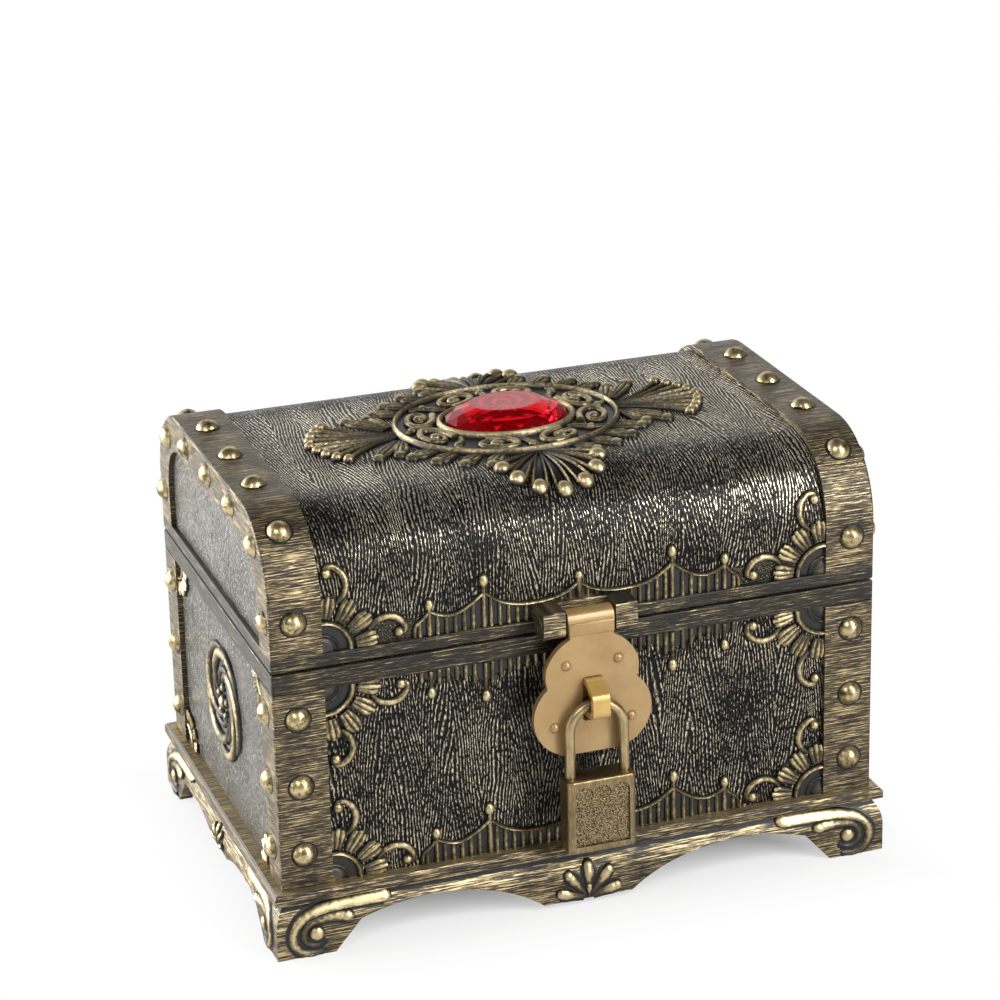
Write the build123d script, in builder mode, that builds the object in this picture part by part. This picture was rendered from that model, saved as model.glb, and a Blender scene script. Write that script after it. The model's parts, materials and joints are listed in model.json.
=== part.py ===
"""Domed treasure chest with corner bands, a hasp, a staple, a small padlock and two keys.

Millimetres. +X runs along the chest's length, the front faces -Y and +Z is up.
Every piece is modelled about the middle of the case, with the table at z = 0,
and is moved along Y as it is saved, so that the origin is the middle of the whole footprint.
"""

from build123d import *
from math import asin, atan2, cos, degrees, radians, sin, sqrt
import os

os.makedirs("parts", exist_ok=True)

# The case
case_width = 180.0
case_depth = 120.0
case_floor_height = 20.0
split_height = 85.4
lid_gap = 0.6
lid_top_height = 128.5
shoulder_radius = 25.0
wall = 2.6
band_thickness = 1.6
corner_round = 0.8
lining_thickness = 1.0
lining_setback = 0.4
seat_gap = 0.1
overrun = 1.0

# Bands, rims and their studs
front_band_width = 15.0
end_band_width = 12.5
lid_end_frame_width = 10.8
base_rim_height = 6.0
lid_rim_height = 3.9
stud_radius = 3.5
stud_height = 2.4
stud_shank_radius = 1.2
stud_shank_length = 3.0
stud_hole_clearance = 0.05
stud_front_inset = 7.0
stud_end_inset = 8.0
stud_rows = (30.4, 51.0, 71.6)
lid_stud_low_height = 14.0
lid_stud_spacing = 25.0
lid_stud_frame_inset = 5.0
lid_stud_shoulder_angle = 53.0

# The plinth
plinth_reach = 3.0
ledge_height = 3.2
ledge_round = 1.0
cove_height = 1.4
cove_depth = 2.4
ogee_height = 7.5
ogee_bulge_share = 0.3
ogee_bulge_drop_share = 0.4
plinth_wall = 4.0
plinth_flange_width = 14.0
plinth_flange_height = 3.6
foot_width = 17.0
foot_slope = 8.0
foot_notch_height = 9.0
arch_height = 12.2
apron_drop_half = 13.5
apron_drop_height = 2.0
apron_shoulder_half = 27.0
apron_shoulder_height = 9.3
apron_sag_share = 0.6
end_foot_width = 15.0
end_arch_height = 9.8
end_drop_half = 9.0
end_drop_height = 6.5
end_shoulder_half = 18.0
end_shoulder_share = 0.95
plinth_screw_radius = 1.5
plinth_screw_head_radius = 3.0
plinth_screw_head_height = 1.8
plinth_screw_grip = 2.0
plinth_screw_inset = 8.5

# Reliefs on the panels
relief_height = 1.2
relief_plate = 0.7
relief_root_height = 1.5
corner_fan_reach = 18.0
lid_fan_reach = 18.0
end_fan_reach = 12.0
corner_petal_angles = (13, 36, 59, 82)
corner_root_share = 0.4
corner_petal_place_share = 0.66
corner_petal_length_share = 0.32
corner_petal_width_share = 0.13
corner_curl_place_shares = (1.04, 0.18)
corner_curl_share = 0.16
fringe_half = 48.5
fringe_height = 10.5
low_fringe_height = 11.0
hanging_fringe_height = 6.5
fringe_point_shares = ((1.0, 0.25), (0.9, 0.66), (0.57, 1.0), (0.0, 0.62))
fringe_dip_shares = (0.34, 0.36, 0.34)
flute_spacing = 3.0
flute_width = 1.2
finial_radius = 1.4
medallion_radius = 18.3
medallion_line = 2.6
medallion_boss_radius = 5.0
medallion_height = 1.8
medallion_centre_height = 52.8
medallion_arms = 5
medallion_arm_shares = ((0.2, 0), (0.66, 42), (0.93, 96))

# Relief on the plinth
scroll_radius = 4.2
scroll_line = 2.0
scroll_relief = 1.4
scroll_boss_radius = 2.1
scroll_eye_inset = 11.0
scroll_eye_height = 6.9
scroll_tail_reach = 14.0
scroll_tail_height = 12.2
scroll_tip_reach = 25.0
scroll_tip_height = 14.2
end_tail_share = 0.9
scroll_start_slope_share = 0.35
shell_base_half = 2.4
shell_radius = 11.0
shell_base_height = 2.4
shell_petals = 5
shell_spread = 132
shell_petal_width = 4.4
end_shell_radius = 6.5
end_shell_base_height = 7.2

# The ornament on the lid
gem_length = 37.0
gem_depth = 27.0
gem_table_share = 0.6
gem_crown = 4.2
gem_girdle = 1.6
gem_sides = 16
bezel_width = 2.4
bezel_height = 2.8
bezel_floor = 0.8
gem_clearance = 0.15
ring_length = 68.0
ring_depth = 58.0
ring_width = 2.6
ring_height = 2.6
ornament_base = 0.9
ornament_height = 2.0
curl_count = 10
curl_radius = 4.3
curl_line = 1.6
side_fan_reach = 27.0
front_fan_reach = 24.0
fan_overlap = 4.0
fan_petals = 7
side_fan_spread = 92
front_fan_spread = 116
fan_petal_width = 5.2
fan_droop_share = 0.34
fan_root_radius = 5.0
fan_height = 2.2
leaf_reach = 10.0
leaf_petals = 3
leaf_spread = 84
leaf_petal_width = 3.6
leaf_root_radius = 2.2
leaf_angle = 42

# Hinges on the back
hinge_spacing = 64.0
hinge_width = 26.0
hinge_play = 0.3
hinge_barrel_radius = 2.4
hinge_pin_radius = 1.0
hinge_running_clearance = 0.05
hinge_axis_reach = 1.4
hinge_leaf_height = 13.0
hinge_leaf_thickness = 1.2
hinge_screw_radius = 0.9
hinge_screw_head_radius = 1.8
hinge_screw_head_height = 0.9
hinge_screw_spacing = 15.0
hinge_screw_drop = 8.5
hinge_screw_grip = 2.2
pin_head_radius = 1.6
pin_head_length = 0.8

# The hasp and its bracket
hasp_axis_reach = 5.5
hasp_axis_height = 4.7
hasp_knuckle_radius = 3.3
hasp_knuckle_length = 13.6
hasp_pin_radius = 1.2
hasp_running_clearance = 0.05
hasp_fixed_clearance = 0.02
hasp_thickness = 2.0
hasp_neck_half = 6.5
hasp_neck_drop = 4.6
hasp_shoulder_half = 13.6
hasp_shoulder_drop = 12.4
hasp_waist_half = 14.2
hasp_waist_drop = 18.6
hasp_belly_half = 17.6
hasp_belly_drop = 28.4
hasp_foot_half = 12.5
hasp_foot_drop = 37.6
hasp_drop = 39.5
hasp_shoulder_share = 0.84
hasp_waist_nick = 0.9
hasp_foot_nick = 3.2
hasp_slot_width = 6.0
hasp_slot_top = 16.4
hasp_slot_length = 13.4
hasp_slot_round = 1.0
hasp_rivet_radius = 1.6
hasp_rivet_height = 1.1
hasp_rivet_shank_radius = 0.8
hasp_rivet_places = ((7.75, 12.2), (11.5, 30.5))
lug_inner = 7.4
lug_width = 6.6
lug_bottom = 0.6
lug_height = 8.0
lug_reach = 8.4
lug_round = 1.2
bracket_plate = 1.2

# The staple
staple_width = 5.2
staple_strap = 1.8
staple_reach = 16.0
staple_bend_reach = 11.0
staple_top_drop = 12.1
staple_bottom_drop = 24.6
staple_nose_top_drop = 15.5
staple_nose_bottom_drop = 22.4
staple_bend_radius = 2.4
staple_flange_margin = 2.4
staple_flange_thickness = 1.0
prong_radius = 1.2
staple_prong_offset = 3.6

# The padlock
shackle_wire_radius = 1.5
shackle_half = 8.1
shackle_reach = 11.5
shackle_hang_gap = 0.3
lock_width = 20.5
lock_height = 22.5
lock_thickness = 8.4
lock_neck = 13.4
lock_round = 1.6
lock_edge_round = 0.7
lock_panel_margin = 2.1
lock_panel_depth = 0.6
lock_lobes = 3
shackle_heel_depth = 13.0
shackle_toe_depth = 5.6
shackle_bore_clearance = 0.05
unlock_travel = 6.0
plug_radius = 3.2
plug_depth = 16.0
plug_clearance = 0.05
keyway_length = 4.6
keyway_width = 1.5
keyway_depth = 12.0
latch_width = 2.2
latch_height = 2.0
latch_throw = 1.3
latch_nose = 1.0
latch_length = 6.4
latch_top_drop = 2.4
latch_clearance = 0.15
spring_radius = 1.2
spring_bore = 0.7
spring_length = 5.6

# The keys
key_thickness = 1.4
key_bow_length = 16.5
key_bow_width = 12.5
key_bow_offset = 3.4
key_blade_width = 5.0
key_length = 25.0
key_hole_radius = 2.5
key_bit_count = 4
key_bit_radius = 0.9
ring_wire_radius = 0.7
key_ring_radius = 9.0
key_place_x = 28.0
key_place_y = 12.0
key_turn = 24

# Places worked out from the sizes above
half_width = case_width / 2
half_depth = case_depth / 2
panel_half_width = half_width - band_thickness
panel_half_depth = half_depth - band_thickness
panel_top_height = lid_top_height - band_thickness
base_panel_top = split_height - base_rim_height
lid_bottom = split_height + lid_gap
lid_panel_bottom = lid_bottom + lid_rim_height
shoulder_y = half_depth - shoulder_radius
shoulder_z = lid_top_height - shoulder_radius
hinge_y = half_depth + hinge_axis_reach
hinge_z = split_height + lid_gap / 2
hasp_y = -half_depth - hasp_axis_reach
hasp_z = lid_bottom + hasp_axis_height
hasp_face_y = hasp_y - hasp_knuckle_radius
staple_top = lid_bottom - staple_top_drop
staple_bottom = lid_bottom - staple_bottom_drop
staple_nose_bottom = lid_bottom - staple_nose_bottom_drop
front_reach = half_depth + staple_reach
rear_reach = max(half_depth + plinth_reach + scroll_relief, hinge_y + hinge_barrel_radius)
centre_shift = (front_reach - rear_reach) / 2

# The shackle hangs on the lower strap of the staple, whose edges its arch straddles
shackle_y = -half_depth - shackle_reach
staple_slope = (staple_nose_bottom - staple_bottom) / (staple_reach + band_thickness)
staple_seat = staple_bottom + staple_slope * (shackle_reach + band_thickness)
staple_seat += staple_strap * sqrt(1 + staple_slope ** 2)
arch_inner = shackle_half - shackle_wire_radius
arch_rise = arch_inner - sqrt(arch_inner ** 2 - (staple_width / 2) ** 2)
shackle_top = staple_seat + arch_rise + shackle_hang_gap + shackle_wire_radius
shackle_spring = shackle_top - shackle_half
lock_top = shackle_spring - lock_neck
lock_bottom = lock_top - lock_height


def save(piece, name):
    """Moves a finished piece to the footprint's middle, labels it and writes it."""
    placed = piece.moved(Location((0, centre_shift, 0)))
    placed.label = name
    export_step(placed, f"parts/{name}.step")
    solids = placed.solids()
    print(f"{name:28s} {len(solids):3d} solids {sum(s.volume for s in solids):10.1f} mm3")


def box_between(low, high, mode=Mode.ADD):
    """A box from one corner to the other, in the builder that is open."""
    size = [b - a for a, b in zip(low, high)]
    middle = [(a + b) / 2 for a, b in zip(low, high)]
    with Locations(Location(tuple(middle))):
        Box(*size, mode=mode)


def mirrored_x(piece):
    return mirror(piece, about=Plane.YZ)


def mirrored_y(piece):
    return mirror(piece, about=Plane.XZ)


def lid_outline(inset, bottom):
    """The lid's cross section seen along X, taken in from the bands' outer face by inset."""
    with BuildSketch() as section:
        with Locations((0, bottom)):
            height = lid_top_height - inset - bottom
            Rectangle(case_depth - 2 * inset, height, align=(Align.CENTER, Align.MIN))
        fillet(section.vertices().group_by(Axis.Y)[-1], shoulder_radius - inset)
    return section.sketch


def stud_outline(radius, height, shank_radius, shank_length):
    """Half the section of a domed stud, for revolving about the local Z axis."""
    dome = (radius ** 2 + height ** 2) / (2 * height)
    half_angle = atan2(radius, dome - height) / 2
    middle = (dome * sin(half_angle), dome * cos(half_angle) - dome + height)
    with BuildSketch(Plane.XZ) as outline:
        with BuildLine():
            Polyline(
                (0, height),
                (0, -shank_length),
                (shank_radius, -shank_length),
                (shank_radius, 0),
                (radius, 0),
            )
            ThreePointArc((radius, 0), middle, (0, height))
        make_face()
    return outline.sketch


def make_stud():
    with BuildPart() as stud:
        add(stud_outline(stud_radius, stud_height, stud_shank_radius, stud_shank_length))
        revolve(axis=Axis.Z)
    return stud.part


def on_front(x, z, side=-1):
    """A plane on the bands' front or back face, looking outwards."""
    return Plane(origin=(x, side * half_depth, z), x_dir=(-side, 0, 0), z_dir=(0, side, 0))


def on_end(y, z, side):
    return Plane(origin=(side * half_width, y, z), x_dir=(0, side, 0), z_dir=(side, 0, 0))


def base_stud_planes():
    planes = []
    for z in stud_rows:
        for end in (-1, 1):
            for side in (-1, 1):
                planes.append(on_front(end * (half_width - stud_front_inset), z, side))
                planes.append(on_end(side * (half_depth - stud_end_inset), z, end))
    return planes


def lid_stud_planes():
    low = lid_bottom + lid_stud_low_height
    out = (cos(radians(lid_stud_shoulder_angle)), sin(radians(lid_stud_shoulder_angle)))
    frame_y = half_depth - lid_stud_frame_inset
    frame_arc = shoulder_radius - lid_stud_frame_inset
    planes = []
    for end in (-1, 1):
        x = end * (half_width - stud_front_inset)
        for y in (-lid_stud_spacing, 0, lid_stud_spacing):
            planes.append(Plane(origin=(x, y, lid_top_height), z_dir=(0, 0, 1)))
            planes.append(on_end(y, lid_top_height - lid_stud_frame_inset, end))
        for side in (-1, 1):
            shoulder_reach = side * (shoulder_y + shoulder_radius * out[0])
            shoulder = (x, shoulder_reach, shoulder_z + shoulder_radius * out[1])
            planes.append(Plane(origin=shoulder, z_dir=(0, side * out[0], out[1])))
            place = side * (shoulder_y + frame_arc * out[0])
            planes.append(on_end(place, shoulder_z + frame_arc * out[1], end))
            planes.append(on_front(x, low, side))
            planes.append(on_end(side * frame_y, low, end))
    return planes


def drill_for_studs(planes):
    """Cuts the studs' shank holes out of the part that is open."""
    with Locations(*[Location(p) for p in planes]):
        Cylinder(
            stud_shank_radius + stud_hole_clearance,
            2 * (stud_shank_length + stud_hole_clearance),
            mode=Mode.SUBTRACT,
        )


def hinge_middles():
    return [-hinge_spacing / 2, hinge_spacing / 2]


def screw_places():
    """Each hinge screw's x, and whether it is in the base's leaf or the lid's."""
    half = hinge_screw_spacing / 2
    return [(x + dx, part) for x in hinge_middles() for dx in (-half, half) for part in ("base", "lid")]


def hinge_screw_plane(x, part):
    z = hinge_z - hinge_screw_drop if part == "base" else hinge_z + hinge_screw_drop
    return Plane(origin=(x, panel_half_depth + hinge_leaf_thickness, z), x_dir=(-1, 0, 0), z_dir=(0, 1, 0))


def drill_for_hinge(part):
    """Cuts one half's hinge screw holes out of the part that is open."""
    with Locations(*[Location(hinge_screw_plane(x, side)) for x, side in screw_places() if side == part]):
        Cylinder(
            hinge_screw_radius + stud_hole_clearance,
            2 * (hinge_leaf_thickness + wall + overrun),
            mode=Mode.SUBTRACT,
        )


def drill_for_prongs(places):
    """Cuts prong holes through the front wall, at the given (x, z) places."""
    with Locations(*[Location(on_front(x, z)) for x, z in places]):
        Cylinder(
            prong_radius + stud_hole_clearance,
            2 * (band_thickness + wall + overrun),
            mode=Mode.SUBTRACT,
        )


def staple_prong_places():
    middle = (staple_top + staple_bottom) / 2
    return [(0, middle - staple_prong_offset), (0, middle + staple_prong_offset)]


def bracket_prong_places():
    x = lug_inner + lug_width / 2
    z = (lid_panel_bottom + lid_bottom + lug_bottom + lug_height) / 2
    return [(-x, z), (x, z)]


def plinth_screw_places():
    x = half_width - plinth_screw_inset
    y = half_depth - plinth_screw_inset
    return [(sx * x, sy * y) for sx in (-1, 1) for sy in (-1, 1)]


def make_base_shell():
    with BuildPart() as shell:
        box_between(
            (-panel_half_width, -panel_half_depth, case_floor_height),
            (panel_half_width, panel_half_depth, split_height),
        )
        box_between(
            (wall - panel_half_width, wall - panel_half_depth, case_floor_height + wall),
            (panel_half_width - wall, panel_half_depth - wall, split_height + overrun),
            mode=Mode.SUBTRACT,
        )
        drill_for_studs(base_stud_planes())
        drill_for_hinge("base")
        drill_for_prongs(staple_prong_places())
        for x, y in plinth_screw_places():
            with Locations((x, y, case_floor_height)):
                Cylinder(
                    plinth_screw_radius + stud_hole_clearance,
                    2 * (plinth_screw_grip + stud_hole_clearance),
                    mode=Mode.SUBTRACT,
                )
    return shell.part


def make_base_lining():
    inner_width = panel_half_width - wall
    inner_depth = panel_half_depth - wall
    bottom = case_floor_height + wall
    with BuildPart() as lining:
        box_between(
            (-inner_width, -inner_depth, bottom),
            (inner_width, inner_depth, split_height - lining_setback),
        )
        box_between(
            (lining_thickness - inner_width, lining_thickness - inner_depth, bottom + lining_thickness),
            (inner_width - lining_thickness, inner_depth - lining_thickness, split_height + overrun),
            mode=Mode.SUBTRACT,
        )
    return lining.part


def make_corner_band(end, side):
    """An L-section band on one corner of the base."""
    top = base_panel_top
    with BuildPart() as band:
        corner_x, corner_y = end * half_width, side * half_depth
        inner_x, inner_y = end * (half_width - front_band_width), side * (half_depth - end_band_width)
        box_between(
            (min(corner_x, inner_x), min(corner_y, inner_y), case_floor_height),
            (max(corner_x, inner_x), max(corner_y, inner_y), top),
        )
        fillet(band.edges().filter_by(Axis.Z).sort_by_distance((corner_x, corner_y, top))[0], corner_round)
        box_between(
            (-panel_half_width, -panel_half_depth, case_floor_height - overrun),
            (panel_half_width, panel_half_depth, split_height),
            mode=Mode.SUBTRACT,
        )
        drill_for_studs(base_stud_planes())
    return band.part


def make_base_rim():
    """The strip round the base's top edge, cut away where the hinge leaves lie on the wall."""
    with BuildPart() as rim:
        with BuildSketch(Plane.XY.offset(split_height - base_rim_height)):
            RectangleRounded(case_width, case_depth, corner_round)
            Rectangle(2 * panel_half_width, 2 * panel_half_depth, mode=Mode.SUBTRACT)
        extrude(amount=base_rim_height)
        for x in hinge_middles():
            half = hinge_width / 2 + 2 * hinge_play + pin_head_length
            box_between(
                (x - half, panel_half_depth - overrun, split_height - base_rim_height - overrun),
                (x + half, half_depth + overrun, split_height + overrun),
                mode=Mode.SUBTRACT,
            )
    return rim.part


def make_base_studs():
    stud = make_stud()
    with BuildPart() as studs:
        with Locations(*[Location(p) for p in base_stud_planes()]):
            add(stud)
    return studs.part


def plinth_flank(half):
    """One closed section of the plinth, symmetric about the local Y axis."""
    cove = case_floor_height - ledge_height - cove_height
    outline = [
        (half + plinth_reach - ledge_round, case_floor_height),
        (half + plinth_reach, case_floor_height - ledge_round),
        (half + plinth_reach, case_floor_height - ledge_height),
        (half + plinth_reach - cove_depth, case_floor_height - ledge_height - cove_height / 2),
        (half + plinth_reach - cove_depth, cove),
        (half + plinth_reach, cove - ogee_height),
        (half + plinth_reach, 0),
    ]
    ogee_bulge = (
        half + plinth_reach - cove_depth * ogee_bulge_share,
        cove - ogee_height * ogee_bulge_drop_share,
    )
    with BuildLine() as side:
        for start, end in zip(outline[:4], outline[1:5]):
            Line(start, end)
        ThreePointArc(outline[4], ogee_bulge, outline[5])
        Line(outline[5], outline[6])
        Line(outline[6], (0, 0))
        Line((0, 0), (0, case_floor_height))
        Line((0, case_floor_height), outline[0])
    return side.line


def plinth_edge_cut(corner, foot, notch, top, shoulder, drop_half, drop):
    """The outline below the apron on one side of the plinth, from foot to foot."""
    foot_inner = corner - foot
    slope_end = foot_inner - foot_slope
    with BuildSketch() as cut:
        with BuildLine() as half:
            Line((foot_inner, 0), (slope_end, notch))
            ThreePointArc((slope_end, notch), ((slope_end + shoulder[0]) / 2, top), shoulder)
            ThreePointArc(
                shoulder,
                ((shoulder[0] + drop_half) / 2, drop + (shoulder[1] - drop) * apron_sag_share),
                (drop_half, drop),
            )
            Line((drop_half, drop), (0, drop))
            Line((0, drop), (0, -overrun))
            Line((0, -overrun), (foot_inner, -overrun))
            Line((foot_inner, -overrun), (foot_inner, 0))
        make_face()
        mirror(about=Plane.YZ)
    return cut.sketch


def make_plinth():
    """The moulded foot: a ledge, a flared apron, four feet and a flange that carries the case."""
    reach = half_width + plinth_reach + overrun
    with BuildPart() as plinth:
        with BuildSketch(Plane.YZ):
            with BuildLine():
                add(plinth_flank(half_depth))
            make_face()
            mirror(about=Plane.YZ)
        extrude(amount=reach, both=True)
        with BuildSketch(Plane.XZ):
            with BuildLine():
                add(plinth_flank(half_width))
            make_face()
            mirror(about=Plane.YZ)
        extrude(amount=reach, both=True, mode=Mode.INTERSECT)
        inner_x = half_width + plinth_reach - plinth_wall
        inner_y = half_depth + plinth_reach - plinth_wall
        under_flange = case_floor_height - plinth_flange_height
        box_between((-inner_x, -inner_y, -overrun), (inner_x, inner_y, under_flange), mode=Mode.SUBTRACT)
        hole_x = half_width - plinth_flange_width
        hole_y = half_depth - plinth_flange_width
        box_between(
            (-hole_x, -hole_y, under_flange - overrun),
            (hole_x, hole_y, case_floor_height + overrun),
            mode=Mode.SUBTRACT,
        )
        with BuildSketch(Plane.XZ):
            add(
                plinth_edge_cut(
                    half_width + plinth_reach,
                    foot_width,
                    foot_notch_height,
                    arch_height,
                    (apron_shoulder_half, apron_shoulder_height),
                    apron_drop_half,
                    apron_drop_height,
                )
            )
        extrude(amount=reach, both=True, mode=Mode.SUBTRACT)
        with BuildSketch(Plane.YZ):
            add(
                plinth_edge_cut(
                    half_depth + plinth_reach,
                    end_foot_width,
                    foot_notch_height,
                    end_arch_height,
                    (end_shoulder_half, end_arch_height * end_shoulder_share),
                    end_drop_half,
                    end_drop_height,
                )
            )
        extrude(amount=reach, both=True, mode=Mode.SUBTRACT)
        for x, y in plinth_screw_places():
            with Locations((x, y, under_flange)):
                Cylinder(
                    plinth_screw_radius + stud_hole_clearance,
                    2 * (plinth_flange_height + overrun),
                    mode=Mode.SUBTRACT,
                )
    return plinth.part


def make_plinth_screws():
    """Four screws that hold the plinth to the case's floor from below."""
    head_bottom = case_floor_height - plinth_flange_height - plinth_screw_head_height
    with BuildPart() as screws:
        for x, y in plinth_screw_places():
            with Locations((x, y, head_bottom)):
                Cylinder(
                    plinth_screw_head_radius,
                    plinth_screw_head_height,
                    align=(Align.CENTER, Align.CENTER, Align.MIN),
                )
                Cylinder(
                    plinth_screw_radius,
                    plinth_screw_head_height + plinth_flange_height + plinth_screw_grip,
                    align=(Align.CENTER, Align.CENTER, Align.MIN),
                )
    return screws.part


def polar(radius, angle):
    """A place on a circle, turned to point outwards."""
    turn = radians(angle)
    return Location((radius * cos(turn), radius * sin(turn), 0), (0, 0, angle))


def ring_outline(radius, line):
    with BuildSketch() as ring:
        Circle(radius + line / 2)
        Circle(radius - line / 2, mode=Mode.SUBTRACT)
    return ring.sketch


def fan_outline(reach, petals, spread, petal_width, root_radius):
    """Petals side by side about the local Y axis, shorter towards the sides, on a round root."""
    with BuildSketch() as fan:
        Circle(root_radius)
        for k in range(petals):
            side = 2 * k / (petals - 1) - 1
            length = reach * (1 - fan_droop_share * side ** 2)
            with Locations(polar(length / 2, 90 - side * spread / 2)):
                SlotOverall(length, petal_width)
    return fan.sketch


def corner_fan_outline(reach):
    """A quarter fan in the first quadrant, with a curl past each end."""
    with BuildSketch() as fan:
        Circle(reach * corner_root_share)
        for angle in corner_petal_angles:
            with Locations(polar(reach * corner_petal_place_share, angle)):
                Ellipse(reach * corner_petal_length_share, reach * corner_petal_width_share)
        long, short = (share * reach for share in corner_curl_place_shares)
        with Locations((long, short), (short, long)):
            Circle(reach * corner_curl_share)
        Rectangle(2 * reach, 2 * reach, align=(Align.MIN, Align.MIN), mode=Mode.INTERSECT)
    return fan.sketch


def make_corner_fan(plane, reach):
    with BuildPart() as fan:
        with BuildSketch(plane):
            add(corner_fan_outline(reach))
        extrude(amount=relief_height)
        with BuildSketch(plane):
            Circle(reach * corner_root_share)
            Rectangle(reach, reach, align=(Align.MIN, Align.MIN), mode=Mode.INTERSECT)
        extrude(amount=relief_root_height)
    return fan.part


def with_copies(piece, *planes):
    """The piece and its mirror images in each plane in turn, as one group."""
    pieces = [piece]
    for plane in planes:
        pieces += [mirror(one, about=plane) for one in pieces]
    with BuildPart() as group:
        for one in pieces:
            add(one)
    return group.part


def front_panel_plane(x, z):
    return Plane(origin=(x, -panel_half_depth, z), x_dir=(1, 0, 0), z_dir=(0, -1, 0))


def end_panel_plane(y, z):
    return Plane(origin=(panel_half_width, y, z), x_dir=(0, 1, 0), z_dir=(1, 0, 0))


def make_base_corner_fans():
    middle = Plane.XY.offset((case_floor_height + base_panel_top) / 2)
    corner = front_panel_plane(front_band_width - half_width, case_floor_height)
    return with_copies(make_corner_fan(corner, corner_fan_reach), Plane.YZ, Plane.XZ, middle)


def make_lid_corner_fans():
    corner = front_panel_plane(front_band_width - half_width, lid_panel_bottom)
    return with_copies(make_corner_fan(corner, lid_fan_reach), Plane.YZ, Plane.XZ)


def make_end_corner_fans():
    middle = Plane.XY.offset((case_floor_height + base_panel_top) / 2)
    corner = end_panel_plane(end_band_width - half_depth, case_floor_height)
    return with_copies(make_corner_fan(corner, end_fan_reach), Plane.YZ, Plane.XZ, middle)


def fringe_outline(height):
    """A border with a straight root along the local X axis and hollow scallops rising to points."""
    points = [(x * fringe_half, z * height) for x, z in fringe_point_shares]
    with BuildSketch() as border:
        with BuildLine():
            Line((0, 0), (fringe_half, 0))
            Line((fringe_half, 0), points[0])
            for start, end, dip in zip(points, points[1:], fringe_dip_shares):
                ThreePointArc(start, ((start[0] + end[0]) / 2, dip * height), end)
            Line(points[-1], (0, 0))
        make_face()
        mirror(about=Plane.YZ)
    return border.sketch


def make_fringe(plane, height):
    """A fluted border with a bead on each of its points."""
    outline = fringe_outline(height)
    flutes = 2 * int(fringe_half / flute_spacing) + 1
    with BuildPart() as fringe:
        with BuildSketch(plane):
            add(outline)
        extrude(amount=relief_plate)
        with BuildSketch(plane):
            with GridLocations(flute_spacing, 0, flutes, 1):
                Rectangle(flute_width, 2 * height)
            add(outline, mode=Mode.INTERSECT)
        extrude(amount=relief_height)
        with BuildSketch(plane):
            for x, z in fringe_point_shares[1:]:
                for side in (-1, 1):
                    with Locations((side * x * fringe_half, z * height)):
                        Circle(finial_radius)
        extrude(amount=relief_root_height)
    return fringe.part


def make_lid_fringe():
    """The border that rises from the lid's rim, cut away for the hasp's bracket."""
    half = lug_inner + lug_width + seat_gap
    top = lid_bottom + lug_bottom + lug_height + seat_gap
    with BuildPart() as fringe:
        add(make_fringe(front_panel_plane(0, lid_panel_bottom), fringe_height))
        box_between(
            (-half, -half_depth - relief_root_height, lid_panel_bottom - overrun),
            (half, overrun - panel_half_depth, top),
            mode=Mode.SUBTRACT,
        )
    return fringe.part


def make_base_fringes():
    """The borders that hang from the base's rim and rise from its floor."""
    hanging = Plane(origin=(0, -panel_half_depth, base_panel_top), x_dir=(-1, 0, 0), z_dir=(0, -1, 0))
    half = staple_width / 2 + staple_flange_margin + seat_gap
    with BuildPart() as fringes:
        add(make_fringe(hanging, hanging_fringe_height))
        box_between(
            (-half, -half_depth - relief_root_height, staple_bottom),
            (half, overrun - panel_half_depth, staple_top + staple_flange_margin + seat_gap),
            mode=Mode.SUBTRACT,
        )
        add(make_fringe(front_panel_plane(0, case_floor_height), low_fringe_height))
        add(mirrored_y(make_fringe(front_panel_plane(0, case_floor_height), low_fringe_height)))
    return fringes.part


def medallion_outline():
    """A boss, a ring and the curved arms between them."""
    with BuildSketch() as outline:
        Circle(medallion_boss_radius)
        add(ring_outline(medallion_radius - medallion_line / 2, medallion_line))
        for k in range(medallion_arms):
            turn = 360 * k / medallion_arms
            places = [
                polar(share * medallion_radius, turn + angle).position
                for share, angle in medallion_arm_shares
            ]
            with BuildLine():
                ThreePointArc(*places)
            trace(line_width=medallion_line)
    return outline.sketch


def make_medallion():
    with BuildPart() as medallion:
        with BuildSketch(end_panel_plane(0, medallion_centre_height)):
            add(medallion_outline())
        extrude(amount=medallion_height)
        with Locations(Location(end_panel_plane(0, medallion_centre_height))):
            Cylinder(medallion_boss_radius, 2 * (medallion_height + relief_plate))
        split(bisect_by=Plane.YZ.offset(panel_half_width), keep=Keep.TOP)
    return medallion.part


def scroll_outline(corner, tail_share):
    """A foot's scroll seen from outside: an eye, its ring and a tail that runs back along the apron."""
    eye = (corner - scroll_eye_inset, scroll_eye_height)
    tail = (eye[0] - scroll_tail_reach * tail_share, scroll_tail_height)
    tip = (eye[0] - scroll_tip_reach * tail_share, scroll_tip_height)
    start = (eye[0], eye[1] + scroll_radius)
    with BuildSketch() as outline:
        with Locations(eye):
            Circle(scroll_boss_radius)
            add(ring_outline(scroll_radius, scroll_line))
        with BuildLine():
            TangentArc(start, tail, tangent=(-1, scroll_start_slope_share))
        trace(line_width=scroll_line)
        with BuildLine():
            Line(tail, tip)
        trace(line_width=scroll_line)
        with Locations(tip):
            Circle(scroll_line)
    return outline.sketch


def shell_outline(radius, height):
    with BuildSketch() as outline:
        for k in range(shell_petals):
            side = 2 * k / (shell_petals - 1) - 1
            with Locations(Location((0, height, 0)) * polar(radius / 2, 90 - side * shell_spread / 2)):
                Ellipse(radius / 2, shell_petal_width * radius / shell_radius / 2)
        with Locations((0, height)):
            Circle(shell_base_half * radius / shell_radius)
    return outline.sketch


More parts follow.
